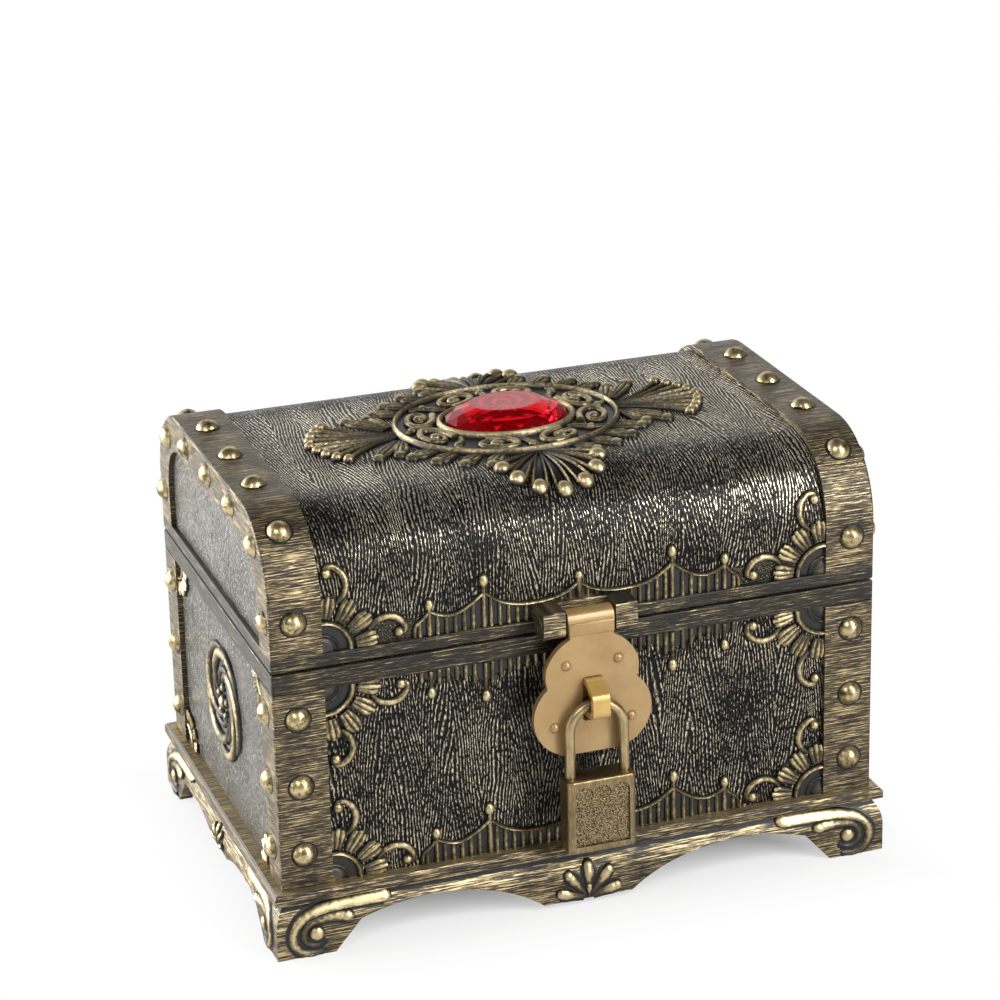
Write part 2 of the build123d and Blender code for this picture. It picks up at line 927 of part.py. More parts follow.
def make_plinth_relief(outline, half, plane):
    """A relief that follows the plinth's flank, built looking along the plane's normal."""
    across = Plane(origin=(0, 0, 0), x_dir=plane.z_dir, z_dir=-plane.x_dir)
    deep = plinth_wall
    with BuildPart() as relief:
        with BuildSketch(plane.offset(half + plinth_reach - deep)):
            add(outline)
        extrude(amount=deep + scroll_relief + overrun)
        with BuildSketch(across):
            with BuildLine():
                add(plinth_flank(half + scroll_relief))
            make_face()
        extrude(amount=case_width, both=True, mode=Mode.INTERSECT)
        with BuildSketch(across):
            with BuildLine():
                add(plinth_flank(half))
            make_face()
        extrude(amount=case_width, both=True, mode=Mode.SUBTRACT)
    return relief.part


def facing(side):
    """The upright plane through the middle of the case that faces front, or right."""
    if side == "front":
        return Plane(origin=(0, 0, 0), x_dir=(1, 0, 0), z_dir=(0, -1, 0))
    return Plane(origin=(0, 0, 0), x_dir=(0, 1, 0), z_dir=(1, 0, 0))


def make_plinth_scrolls():
    front = make_plinth_relief(scroll_outline(half_width + plinth_reach, 1), half_depth, facing("front"))
    end_scroll = scroll_outline(half_depth + plinth_reach, end_tail_share)
    end = make_plinth_relief(end_scroll, half_width, facing("end"))
    with BuildPart() as scrolls:
        add(with_copies(front, Plane.YZ, Plane.XZ))
        add(with_copies(end, Plane.YZ, Plane.XZ))
    return scrolls.part


def make_plinth_shells():
    front = make_plinth_relief(shell_outline(shell_radius, shell_base_height), half_depth, facing("front"))
    end_shell = shell_outline(end_shell_radius, end_shell_base_height)
    end = make_plinth_relief(end_shell, half_width, facing("end"))
    with BuildPart() as shells:
        add(with_copies(front, Plane.XZ))
        add(with_copies(end, Plane.YZ))
    return shells.part


def make_lid_shell():
    with BuildPart() as shell:
        with BuildSketch(Plane.YZ.offset(-panel_half_width)):
            add(lid_outline(band_thickness, lid_bottom))
        extrude(amount=2 * panel_half_width)
        with BuildSketch(Plane.YZ.offset(wall - panel_half_width)):
            add(lid_outline(band_thickness + wall, lid_bottom - overrun))
        extrude(amount=2 * (panel_half_width - wall), mode=Mode.SUBTRACT)
        drill_for_studs(lid_stud_planes())
        drill_for_hinge("lid")
        drill_for_prongs(bracket_prong_places())
    return shell.part


def make_lid_lining():
    outer = band_thickness + wall
    bottom = lid_bottom + lining_setback
    with BuildPart() as lining:
        with BuildSketch(Plane.YZ.offset(wall - panel_half_width)):
            add(lid_outline(outer, bottom))
        extrude(amount=2 * (panel_half_width - wall))
        with BuildSketch(Plane.YZ.offset(wall + lining_thickness - panel_half_width)):
            add(lid_outline(outer + lining_thickness, bottom - overrun))
        extrude(amount=2 * (panel_half_width - wall - lining_thickness), mode=Mode.SUBTRACT)
    return lining.part


def make_lid_rim():
    """The strip round the lid's lower edge, cut away where the hinge leaves lie on the wall."""
    with BuildPart() as rim:
        with BuildSketch(Plane.XY.offset(lid_bottom)):
            RectangleRounded(case_width, case_depth, corner_round)
            Rectangle(2 * panel_half_width, 2 * panel_half_depth, mode=Mode.SUBTRACT)
        extrude(amount=lid_rim_height)
        for x in hinge_middles():
            half = hinge_width / 2 + 2 * hinge_play + pin_head_length
            box_between(
                (x - half, panel_half_depth - overrun, lid_bottom - overrun),
                (x + half, half_depth + overrun, lid_panel_bottom + overrun),
                mode=Mode.SUBTRACT,
            )
    return rim.part


def make_lid_band():
    """The right-hand band: a strap over the lid and an arched frame on its end."""
    strap = half_width - front_band_width
    with BuildPart() as band:
        with BuildSketch(Plane.YZ.offset(strap)):
            add(lid_outline(0, lid_panel_bottom))
        extrude(amount=front_band_width)
        end_edges = band.faces().sort_by(Axis.X)[-1].edges().sort_by(Axis.Z)[1:]
        fillet(end_edges, corner_round)
        with BuildSketch(Plane.YZ.offset(strap - overrun)):
            add(lid_outline(band_thickness, lid_panel_bottom - overrun))
        extrude(amount=front_band_width + overrun - band_thickness, mode=Mode.SUBTRACT)
        with BuildSketch(Plane.YZ.offset(strap)):
            add(lid_outline(lid_end_frame_width, lid_panel_bottom - overrun))
        extrude(amount=front_band_width + overrun, mode=Mode.SUBTRACT)
        drill_for_studs(lid_stud_planes())
    return band.part


def make_lid_studs():
    stud = make_stud()
    with BuildPart() as studs:
        with Locations(*[Location(p) for p in lid_stud_planes()]):
            add(stud)
    return studs.part


def make_rosette():
    """The oval plate on the lid, with its rim and the curls between the rim and the gem."""
    bezel_half = (gem_length / 2 + bezel_width + seat_gap, gem_depth / 2 + bezel_width + seat_gap)
    rim_half = (ring_length / 2 - ring_width, ring_depth / 2 - ring_width)
    curl_path = ((bezel_half[0] + rim_half[0]) / 2, (bezel_half[1] + rim_half[1]) / 2)
    plane = Plane.XY.offset(panel_top_height)
    with BuildPart() as rosette:
        with BuildSketch(plane):
            Ellipse(ring_length / 2, ring_depth / 2)
        extrude(amount=ornament_base)
        with BuildSketch(plane):
            Ellipse(ring_length / 2, ring_depth / 2)
            Ellipse(*rim_half, mode=Mode.SUBTRACT)
        extrude(amount=ring_height)
        with BuildSketch(plane):
            for k in range(curl_count):
                turn = radians(360 * (k + 1 / 2) / curl_count)
                with Locations((curl_path[0] * cos(turn), curl_path[1] * sin(turn))):
                    add(ring_outline(curl_radius, curl_line))
        extrude(amount=ornament_height)
        with BuildSketch(plane):
            Ellipse(*bezel_half)
        extrude(amount=ring_height + overrun, mode=Mode.SUBTRACT)
    return rosette.part


def make_rosette_fan(x, y, turn, outline):
    """A fan that leaves the oval plate and follows the lid's surface over the shoulder."""
    with BuildPart() as fan:
        with BuildSketch(Plane.XY.offset(shoulder_z)):
            with Locations(Location((x, y, 0), (0, 0, turn))):
                add(outline)
            Ellipse(ring_length / 2 + seat_gap, ring_depth / 2 + seat_gap, mode=Mode.SUBTRACT)
        extrude(amount=shoulder_radius + fan_height)
        with BuildSketch(Plane.YZ.offset(-half_width)):
            add(lid_outline(band_thickness - fan_height, lid_bottom))
        extrude(amount=case_width, mode=Mode.INTERSECT)
        with BuildSketch(Plane.YZ.offset(-half_width)):
            add(lid_outline(band_thickness, lid_bottom - overrun))
        extrude(amount=case_width, mode=Mode.SUBTRACT)
    return fan.part


def make_rosette_fans():
    side_reach = side_fan_reach + fan_overlap
    side = fan_outline(side_reach, fan_petals, side_fan_spread, fan_petal_width, fan_root_radius)
    front = fan_outline(
        front_fan_reach + fan_overlap, fan_petals, front_fan_spread, fan_petal_width, fan_root_radius
    )
    leaf = fan_outline(leaf_reach, leaf_petals, leaf_spread, leaf_petal_width, leaf_root_radius)
    turn = radians(leaf_angle)
    leaf_place = (ring_length / 2 * cos(turn), ring_depth / 2 * sin(turn))
    leaf_turn = degrees(atan2(leaf_place[1], leaf_place[0])) - 90
    with BuildPart() as fans:
        add(with_copies(make_rosette_fan(ring_length / 2 - fan_overlap, 0, -90, side), Plane.YZ))
        add(with_copies(make_rosette_fan(0, fan_overlap - ring_depth / 2, 180, front), Plane.XZ))
        add(with_copies(make_rosette_fan(*leaf_place, leaf_turn, leaf), Plane.YZ, Plane.XZ))
    return fans.part


def make_gem_bezel():
    plane = Plane.XY.offset(panel_top_height)
    with BuildPart() as bezel:
        with BuildSketch(plane):
            Ellipse(gem_length / 2 + bezel_width, gem_depth / 2 + bezel_width)
        extrude(amount=bezel_height)
        with BuildSketch(plane.offset(bezel_floor)):
            Ellipse(gem_length / 2 + gem_clearance, gem_depth / 2 + gem_clearance)
        extrude(amount=bezel_height, mode=Mode.SUBTRACT)
    return bezel.part


def gem_outline(share):
    turns = [radians(360 * k / gem_sides) for k in range(gem_sides)]
    with BuildSketch() as outline:
        corners = [(share * gem_length / 2 * cos(t), share * gem_depth / 2 * sin(t)) for t in turns]
        Polygon(*corners, align=None)
    return outline.sketch


def make_gem():
    girdle = Plane.XY.offset(panel_top_height + bezel_floor)
    crown = girdle.offset(gem_girdle)
    with BuildPart() as gem:
        with BuildSketch(girdle):
            add(gem_outline(1))
        extrude(amount=gem_girdle)
        with BuildSketch(crown):
            add(gem_outline(1))
        with BuildSketch(crown.offset(gem_crown)):
            add(gem_outline(gem_table_share))
        loft(ruled=True)
    return gem.part


def make_hinge_leaf(x, part):
    """One leaf with its knuckles: the base's has the outer two, the lid's the middle one."""
    knuckle = (hinge_width - 2 * hinge_play) / 3
    step = knuckle + hinge_play
    own, other = ((-step, step), (0,)) if part == "base" else ((0,), (-step, step))
    up = -1 if part == "base" else 1
    near, far = hinge_z + up * lid_gap / 2, hinge_z + up * hinge_leaf_height
    curl = hinge_z + up * hinge_barrel_radius
    along_x = (0, 90, 0)
    with BuildPart() as leaf:
        box_between(
            (x - hinge_width / 2, panel_half_depth, min(near, far)),
            (x + hinge_width / 2, panel_half_depth + hinge_leaf_thickness, max(near, far)),
        )
        with Locations(*[(x + dx, hinge_y, hinge_z) for dx in other]):
            Cylinder(
                hinge_barrel_radius + hinge_play,
                knuckle + 2 * hinge_play,
                rotation=along_x,
                mode=Mode.SUBTRACT,
            )
        for dx in own:
            with Locations((x + dx, hinge_y, hinge_z)):
                Cylinder(hinge_barrel_radius, knuckle, rotation=along_x)
            box_between(
                (x + dx - knuckle / 2, panel_half_depth, min(near, curl)),
                (x + dx + knuckle / 2, hinge_y, max(near, curl)),
            )
        with Locations((x, hinge_y, hinge_z)):
            Cylinder(
                hinge_pin_radius + hinge_running_clearance,
                hinge_width + 2 * overrun,
                rotation=along_x,
                mode=Mode.SUBTRACT,
            )
        drill_for_hinge(part)
    return leaf.part


def make_hinge_pin(x):
    along_x = (0, 90, 0)
    with BuildPart() as pin:
        with Locations((x, hinge_y, hinge_z)):
            Cylinder(hinge_pin_radius, hinge_width + 2 * hinge_play, rotation=along_x)
        reach = hinge_width / 2 + hinge_play + pin_head_length / 2
        with Locations((x - reach, hinge_y, hinge_z), (x + reach, hinge_y, hinge_z)):
            Cylinder(pin_head_radius, pin_head_length, rotation=along_x)
    return pin.part


def make_hinge_screws(part):
    length = hinge_leaf_thickness + hinge_screw_grip
    screw = stud_outline(hinge_screw_head_radius, hinge_screw_head_height, hinge_screw_radius, length)
    with BuildPart() as one:
        add(screw)
        revolve(axis=Axis.Z)
    with BuildPart() as screws:
        with Locations(*[Location(hinge_screw_plane(x, side)) for x, side in screw_places() if side == part]):
            add(one.part)
    return screws.part


def make_hasp_bracket():
    """The plate and the two lugs on the lid's front that hold the hasp's pin."""
    half = lug_inner + lug_width
    bottom = lid_bottom + lug_bottom
    top = bottom + lug_height
    with BuildPart() as bracket:
        box_between((-half, -half_depth - bracket_plate, bottom), (half, -half_depth, top))
        box_between((-half, -half_depth - bracket_plate, lid_panel_bottom), (half, -panel_half_depth, top))
        for side in (-1, 1):
            low, high = sorted((side * lug_inner, side * half))
            box_between((low, -half_depth - lug_reach, bottom), (high, -half_depth, top))
        front_edges = bracket.faces().sort_by(Axis.Y)[:2].edges().filter_by(Axis.X)
        fillet(front_edges, lug_round)
        with Locations(*[Location(on_front(x, z)) for x, z in bracket_prong_places()]):
            Cylinder(prong_radius, band_thickness + wall, align=(Align.CENTER, Align.CENTER, Align.MAX))
        with Locations((0, hasp_y, hasp_z)):
            Cylinder(
                hasp_pin_radius + hasp_fixed_clearance,
                2 * (half + overrun),
                rotation=(0, 90, 0),
                mode=Mode.SUBTRACT,
            )
    return bracket.part


def make_hasp_pin():
    with BuildPart() as pin:
        with Locations((0, hasp_y, hasp_z)):
            Cylinder(hasp_pin_radius, 2 * (lug_inner + lug_width), rotation=(0, 90, 0))
    return pin.part


def hasp_outline():
    """The plate's front view below its pin: a neck, a shoulder, a waist and a wider belly."""
    with BuildSketch() as outline:
        with BuildLine():
            Line((0, 0), (hasp_neck_half, 0))
            Line((hasp_neck_half, 0), (hasp_neck_half, -hasp_neck_drop))
            ThreePointArc(
                (hasp_neck_half, -hasp_neck_drop),
                (hasp_shoulder_half * hasp_shoulder_share, -(hasp_neck_drop + hasp_shoulder_drop) / 2),
                (hasp_shoulder_half, -hasp_shoulder_drop),
            )
            ThreePointArc(
                (hasp_shoulder_half, -hasp_shoulder_drop),
                ((hasp_shoulder_half + hasp_waist_half) / 2, -(hasp_shoulder_drop + hasp_waist_drop) / 2),
                (hasp_waist_half - hasp_waist_nick, -hasp_waist_drop),
            )
            ThreePointArc(
                (hasp_waist_half - hasp_waist_nick, -hasp_waist_drop),
                (hasp_belly_half, -hasp_belly_drop),
                (hasp_foot_half, -hasp_foot_drop),
            )
            Line((hasp_foot_half, -hasp_foot_drop), (hasp_foot_half - hasp_foot_nick, -hasp_drop))
            Line((hasp_foot_half - hasp_foot_nick, -hasp_drop), (0, -hasp_drop))
            Line((0, -hasp_drop), (0, 0))
        make_face()
        mirror(about=Plane.YZ)
    return outline.sketch


def make_hasp_plate():
    face = Plane(origin=(0, hasp_face_y, hasp_z), x_dir=(1, 0, 0), z_dir=(0, -1, 0))
    with BuildPart() as hasp:
        with BuildSketch(face):
            add(hasp_outline())
            with Locations((0, -hasp_slot_top - hasp_slot_length / 2)):
                RectangleRounded(hasp_slot_width, hasp_slot_length, hasp_slot_round, mode=Mode.SUBTRACT)
        extrude(amount=-hasp_thickness)
        with Locations((0, hasp_y, hasp_z)):
            Cylinder(hasp_knuckle_radius, hasp_knuckle_length, rotation=(0, 90, 0))
            Cylinder(
                hasp_pin_radius + hasp_running_clearance,
                hasp_knuckle_length + 2 * overrun,
                rotation=(0, 90, 0),
                mode=Mode.SUBTRACT,
            )
        with Locations(*hasp_rivet_locations()):
            Cylinder(
                hasp_rivet_shank_radius + stud_hole_clearance,
                2 * (hasp_thickness + overrun),
                mode=Mode.SUBTRACT,
            )
    return hasp.part


def hasp_rivet_locations():
    face = Plane(origin=(0, hasp_face_y, hasp_z), x_dir=(1, 0, 0), z_dir=(0, -1, 0))
    return [
        Location(face) * Location((side * x, -drop, 0))
        for x, drop in hasp_rivet_places
        for side in (-1, 1)
    ]


def make_hasp_rivets():
    with BuildPart() as rivet:
        add(stud_outline(hasp_rivet_radius, hasp_rivet_height, hasp_rivet_shank_radius, hasp_thickness))
        revolve(axis=Axis.Z)
    with BuildPart() as rivets:
        with Locations(*hasp_rivet_locations()):
            add(rivet.part)
    return rivets.part


def make_staple():
    """A bent strap that comes out of the front wall, with its flange and its prongs."""
    outline = [
        (-panel_half_depth, staple_top),
        (-half_depth - staple_bend_reach, staple_top),
        (-front_reach, lid_bottom - staple_nose_top_drop),
        (-front_reach, staple_nose_bottom),
        (-panel_half_depth, staple_bottom),
    ]
    half = staple_width / 2 + staple_flange_margin
    with BuildPart() as staple:
        with BuildSketch(Plane.YZ.offset(-staple_width / 2)) as loop:
            Polygon(*outline, align=None)
            fillet(loop.vertices().sort_by(Axis.X)[:3], staple_bend_radius)
            offset(amount=-staple_strap, mode=Mode.SUBTRACT)
        extrude(amount=staple_width)
        box_between(
            (-half, -panel_half_depth - staple_flange_thickness, staple_bottom - staple_flange_margin),
            (half, -panel_half_depth, staple_top + staple_flange_margin),
        )
        with Locations(*[Location(on_front(x, z)) for x, z in staple_prong_places()]):
            Cylinder(prong_radius, band_thickness + wall, align=(Align.CENTER, Align.CENTER, Align.MAX))
    return staple.part


def lock_plane():
    """The upright plane through the middle of the padlock, facing front."""
    return Plane(origin=(0, shackle_y, 0), x_dir=(1, 0, 0), z_dir=(0, -1, 0))


def latch_box(grow):
    """The latch's opposite corners, or those of its channel when grow is its clearance."""
    top = lock_top - latch_top_drop
    tip = arch_inner + latch_nose
    return (
        (tip - latch_length - grow, shackle_y - latch_width / 2 - grow, top - latch_height - grow),
        (tip + grow, shackle_y + latch_width / 2 + grow, top + grow),
    )


def make_padlock_shackle():
    """The bow: a long heel that stays in the case and a short toe with the latch's notch."""
    heel, toe = lock_top - shackle_heel_depth, lock_top - shackle_toe_depth
    low, high = latch_box(latch_clearance)
    ramp = latch_throw / unlock_travel * (low[2] - toe + overrun)
    with BuildPart() as shackle:
        with BuildLine(lock_plane()) as path:
            Line((-shackle_half, heel), (-shackle_half, shackle_spring))
            ThreePointArc((-shackle_half, shackle_spring), (0, shackle_top), (shackle_half, shackle_spring))
            Line((shackle_half, shackle_spring), (shackle_half, toe))
        with BuildSketch(Plane(origin=path.line @ 0, z_dir=path.line % 0)):
            Circle(shackle_wire_radius)
        sweep()
        with BuildSketch(lock_plane()):
            Polygon(
                (shackle_half - shackle_wire_radius - overrun, high[2]),
                (high[0], high[2]),
                (high[0], low[2]),
                (high[0] - ramp, toe - overrun),
                (shackle_half - shackle_wire_radius - overrun, toe - overrun),
                align=None,
            )
        extrude(amount=2 * shackle_wire_radius, both=True, mode=Mode.SUBTRACT)
    return shackle.part


def lock_panel_outline():
    """The recessed panel on the padlock's face, with a lobed top edge."""
    half = lock_width / 2 - lock_panel_margin
    lobe = half / lock_lobes
    top = lock_height - lock_panel_margin - lobe
    with BuildSketch() as outline:
        with Locations((0, lock_bottom)):
            with Locations((0, (lock_panel_margin + top) / 2)):
                Rectangle(2 * half, top - lock_panel_margin)
            with Locations((0, top)):
                with GridLocations(2 * lobe, 0, lock_lobes, 1):
                    Circle(lobe)
    return outline.sketch


def make_padlock_case():
    plane = lock_plane()
    middle = (lock_top + lock_bottom) / 2
    heel_room = shackle_heel_depth + spring_length + seat_gap
    with BuildPart() as case:
        with Locations((0, shackle_y, middle)):
            Box(lock_width, lock_thickness, lock_height)
        fillet(case.edges().filter_by(Axis.Z), lock_round)
        fillet(case.faces().filter_by(Axis.Z).edges(), lock_edge_round)
        for side in (-1, 1):
            with BuildSketch(plane.offset(side * lock_thickness / 2)):
                add(lock_panel_outline())
            extrude(amount=lock_panel_depth, both=True, mode=Mode.SUBTRACT)
        for x, depth in ((-shackle_half, heel_room), (shackle_half, shackle_toe_depth + seat_gap)):
            with Locations((x, shackle_y, lock_top - depth)):
                Cylinder(
                    shackle_wire_radius + shackle_bore_clearance,
                    depth + overrun,
                    align=(Align.CENTER, Align.CENTER, Align.MIN),
                    mode=Mode.SUBTRACT,
                )
        with Locations((0, shackle_y, lock_bottom - overrun)):
            Cylinder(
                plug_radius + plug_clearance,
                plug_depth + seat_gap + overrun,
                align=(Align.CENTER, Align.CENTER, Align.MIN),
                mode=Mode.SUBTRACT,
            )
        low, high = latch_box(latch_clearance)
        box_between((low[0] - latch_throw, low[1], low[2]), high, mode=Mode.SUBTRACT)
    return case.part


def make_padlock_latch():
    with BuildPart() as latch:
        box_between(*latch_box(0))
    return latch.part


def make_padlock_spring():
    """The spring under the heel, as a short sleeve of its outer size."""
    with BuildPart() as spring:
        with Locations((-shackle_half, shackle_y, lock_top - shackle_heel_depth - spring_length)):
            Cylinder(spring_radius, spring_length, align=(Align.CENTER, Align.CENTER, Align.MIN))
            bottom_up = (Align.CENTER, Align.CENTER, Align.MIN)
            Cylinder(spring_bore, spring_length, align=bottom_up, mode=Mode.SUBTRACT)
    return spring.part


def make_padlock_plug():
    with BuildPart() as plug:
        with Locations((0, shackle_y, lock_bottom)):
            Cylinder(plug_radius, plug_depth, align=(Align.CENTER, Align.CENTER, Align.MIN))
        with Locations((0, shackle_y, lock_bottom - overrun)):
            Box(
                keyway_width,
                keyway_length,
                keyway_depth + overrun,
                align=(Align.CENTER, Align.CENTER, Align.MIN),
                mode=Mode.SUBTRACT,
            )
    return plug.part


def make_key():
    """A flat key about its hole, with its blade along +X."""
    bit_step = (key_length - key_bow_length / 2 - key_bow_offset) / (key_bit_count + 1)
    with BuildPart() as key:
        with BuildSketch(Plane.XY.offset(-key_thickness / 2)):
            with Locations((key_bow_offset, 0)):
                Ellipse(key_bow_length / 2, key_bow_width / 2)
            with Locations((key_length / 2, 0)):
                Rectangle(key_length - key_blade_width, key_blade_width)
            with Locations((key_length - key_blade_width, 0)):
                Ellipse(key_blade_width, key_blade_width / 2)
            for k in range(key_bit_count):
                for side in (-1, 1):
                    with Locations((key_length - bit_step * (k + 1), side * key_blade_width / 2)):
                        Circle(key_bit_radius, mode=Mode.SUBTRACT)
            Circle(key_hole_radius, mode=Mode.SUBTRACT)
        extrude(amount=key_thickness)
    return key.part


def key_set_places():
    """Where the ring and the two keys stand on the floor's lining, each key sloping down from the ring."""
    floor = case_floor_height + wall + lining_thickness
    centre = key_ring_radius + ring_wire_radius
    slope = degrees(asin((centre - key_thickness / 2) / key_length))
    spot = Location((key_place_x, key_place_y, floor + centre + seat_gap), (0, 0, key_turn))
    one = spot * Location((key_ring_radius, 0, 0), (0, slope, 0))
    two = spot * Location((0, 0, 0), (0, 0, 180)) * Location((key_ring_radius, 0, 0), (0, slope, 0))
    return spot * Location((0, 0, 0), (90, 0, 0)), one, two


def make_key_ring():
    with BuildPart() as ring:
        Torus(key_ring_radius, ring_wire_radius)
    return ring.part


save(make_base_shell(), "base_shell")
save(make_base_lining(), "base_lining")
save(make_base_rim(), "base_rim")
for end, end_name in ((-1, "left"), (1, "right")):
    for side, side_name in ((-1, "front"), (1, "rear")):
        save(make_corner_band(end, side), f"corner_band_{side_name}_{end_name}")
save(make_base_studs(), "base_studs")
save(make_plinth(), "plinth")
save(make_plinth_screws(), "plinth_screws")
save(make_plinth_scrolls(), "plinth_scrolls")
save(make_plinth_shells(), "plinth_shells")
save(make_base_corner_fans(), "base_corner_fans")
save(make_end_corner_fans(), "end_corner_fans")
save(make_base_fringes(), "base_fringes")
medallion = make_medallion()
save(medallion, "end_medallion_right")
save(mirrored_x(medallion), "end_medallion_left")
save(make_staple(), "staple")
save(make_lid_shell(), "lid_shell")
save(make_lid_lining(), "lid_lining")
save(make_lid_rim(), "lid_rim")
lid_band = make_lid_band()
save(lid_band, "lid_band_right")
save(mirrored_x(lid_band), "lid_band_left")
save(make_lid_studs(), "lid_studs")
save(make_lid_corner_fans(), "lid_corner_fans")
save(make_lid_fringe(), "lid_fringe")
save(make_rosette(), "rosette")
save(make_rosette_fans(), "rosette_fans")
save(make_gem_bezel(), "gem_bezel")
save(make_gem(), "gem")
for x, name in zip(hinge_middles(), ("left", "right")):
    save(make_hinge_leaf(x, "base"), f"hinge_base_leaf_{name}")
    save(make_hinge_leaf(x, "lid"), f"hinge_lid_leaf_{name}")
    save(make_hinge_pin(x), f"hinge_pin_{name}")
save(make_hinge_screws("base"), "hinge_base_screws")
save(make_hinge_screws("lid"), "hinge_lid_screws")
save(make_hasp_bracket(), "hasp_bracket")
save(make_hasp_pin(), "hasp_pin")
save(make_hasp_plate(), "hasp_plate")
save(make_hasp_rivets(), "hasp_rivets")
save(make_padlock_shackle(), "padlock_shackle")
save(make_padlock_case(), "padlock_case")
save(make_padlock_spring(), "padlock_spring")
save(make_padlock_latch(), "padlock_latch")
save(make_padlock_plug(), "padlock_plug")
ring_place, key_place_one, key_place_two = key_set_places()
save(make_key_ring().moved(ring_place), "key_ring")
save(make_key().moved(key_place_one), "key_one")
save(make_key().moved(key_place_two), "key_two")
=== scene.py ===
"""Looks of the domed treasure chest: worn gold over black, embossed grain, raised ornament and a red stone.

Metres, with +X along the chest, -Y towards the hasp and +Z up.
"""

import json
import math

import bpy
from mathutils import Matrix, Vector

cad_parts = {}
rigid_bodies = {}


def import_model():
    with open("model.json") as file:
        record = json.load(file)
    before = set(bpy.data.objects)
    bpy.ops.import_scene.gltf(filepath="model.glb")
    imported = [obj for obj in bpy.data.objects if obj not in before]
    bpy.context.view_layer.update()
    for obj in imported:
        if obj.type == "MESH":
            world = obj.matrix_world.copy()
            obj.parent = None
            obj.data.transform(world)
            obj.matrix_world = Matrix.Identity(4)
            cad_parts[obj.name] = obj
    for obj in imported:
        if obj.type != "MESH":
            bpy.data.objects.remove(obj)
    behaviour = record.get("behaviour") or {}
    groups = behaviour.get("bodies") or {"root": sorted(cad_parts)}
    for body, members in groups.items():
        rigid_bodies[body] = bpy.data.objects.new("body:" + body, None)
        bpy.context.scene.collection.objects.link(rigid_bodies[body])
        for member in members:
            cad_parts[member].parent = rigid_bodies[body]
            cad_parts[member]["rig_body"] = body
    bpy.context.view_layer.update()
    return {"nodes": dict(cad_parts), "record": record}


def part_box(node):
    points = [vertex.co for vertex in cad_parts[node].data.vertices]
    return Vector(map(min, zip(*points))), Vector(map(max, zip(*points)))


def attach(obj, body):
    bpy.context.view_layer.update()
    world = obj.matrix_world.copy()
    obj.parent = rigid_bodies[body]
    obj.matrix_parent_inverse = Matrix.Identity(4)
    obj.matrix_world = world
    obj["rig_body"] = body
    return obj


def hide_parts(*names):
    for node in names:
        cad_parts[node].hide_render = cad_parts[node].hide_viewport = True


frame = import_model()

MM = 0.001

# Places read from the frame
base_low, base_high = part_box("base_shell")
lid_low, lid_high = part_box("lid_shell")
corner_low, corner_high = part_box("corner_band_front_right")
plinth_low, plinth_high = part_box("plinth")
middle_y = (base_low.y + base_high.y) / 2
panel_half_width = base_high.x
panel_half_depth = (base_high.y - base_low.y) / 2
case_half_depth = middle_y - corner_low.y
floor_height = plinth_high.z
panel_edge_x = corner_low.x
end_edge_y = middle_y - corner_high.y
rim_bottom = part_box("base_rim")[0].z
lid_rim_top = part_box("lid_rim")[1].z
lid_bottom = lid_low.z
lid_top = lid_high.z
plinth_half_width = plinth_high.x
plinth_half_depth = (plinth_high.y - plinth_low.y) / 2

# The lid's panel follows a wall, a quarter round and a flat top
lid_round = 23.4 * MM
lid_wall = lid_top - lid_round - lid_bottom
lid_quarter = lid_round * math.pi / 2
lid_flat_half = panel_half_depth - lid_round
lid_half_path = lid_wall + lid_quarter + lid_flat_half

# How deep the carvings sit
sink = 0.3 * MM

# The curve of the plinth's flank, above its feet
ogee_start = 7.9 * MM
ogee_height = 7.5 * MM
ogee_fall = 3.0 * MM
ogee_swell = 0.6 * MM

# Where the streaks' and the grain's course starts on the ends, on the back and on the lid
end_course, rear_course, lid_course = 0.31, 0.25, 0.5

# A face counts as turned to one side from this share of its normal, and as square to it from this one
turned, squared = 0.75, 0.9

finishes = {part["node"]: part["material_slot"] for part in frame["record"]["subparts"]}


# Surfaces that a flat carving is laid on

def lid_path(y, z):
    """How far up the lid's panel a point is, from its front lower edge over to its rear one."""
    depth = middle_y - y
    side = abs(depth)
    if z < lid_top - lid_round:
        path = z - lid_bottom
    elif side > lid_flat_half:
        path = lid_wall + lid_round * math.atan2(z - lid_top + lid_round, side - lid_flat_half)
    else:
        path = lid_half_path - side
    return path if depth > 0 else 2 * lid_half_path - path


def on_lid(x, path, rise):
    """The point that rises off the lid's panel at a place along its path."""
    rear = path > lid_half_path
    if rear:
        path = 2 * lid_half_path - path
    if path < lid_wall:
        depth, z = panel_half_depth + rise, lid_bottom + path
    elif path < lid_wall + lid_quarter:
        turn = (path - lid_wall) / lid_round
        depth = lid_flat_half + (lid_round + rise) * math.cos(turn)
        z = lid_top - lid_round + (lid_round + rise) * math.sin(turn)
    else:
        depth, z = lid_half_path - path, lid_top + rise
    return Vector((x, middle_y + depth if rear else middle_y - depth, z))


def on_front(x, z, rise):
    return Vector((x, middle_y - panel_half_depth - rise, z))


def on_end(y, z, rise):
    return Vector((panel_half_width + rise, middle_y + y, z))


def flank_inset(z):
    """How far the plinth's flank lies inside its widest face at a height."""
    share = min(1, max(0, (z - ogee_start) / ogee_height))
    return max(0, ogee_fall * share * share - ogee_swell * share)


def on_plinth_front(x, z, rise):
    return Vector((x, middle_y - plinth_half_depth + flank_inset(z) - rise, max(0, z)))


def on_plinth_end(y, z, rise):
    return Vector((plinth_half_width - flank_inset(z) + rise, middle_y + y, max(0, z)))


# Modelling steps

def pick(*objects):
    """Selects these objects alone, the first of them active."""
    bpy.ops.object.select_all(action="DESELECT")
    for one in objects:
        one.select_set(True)
    bpy.context.view_layer.objects.active = objects[0]


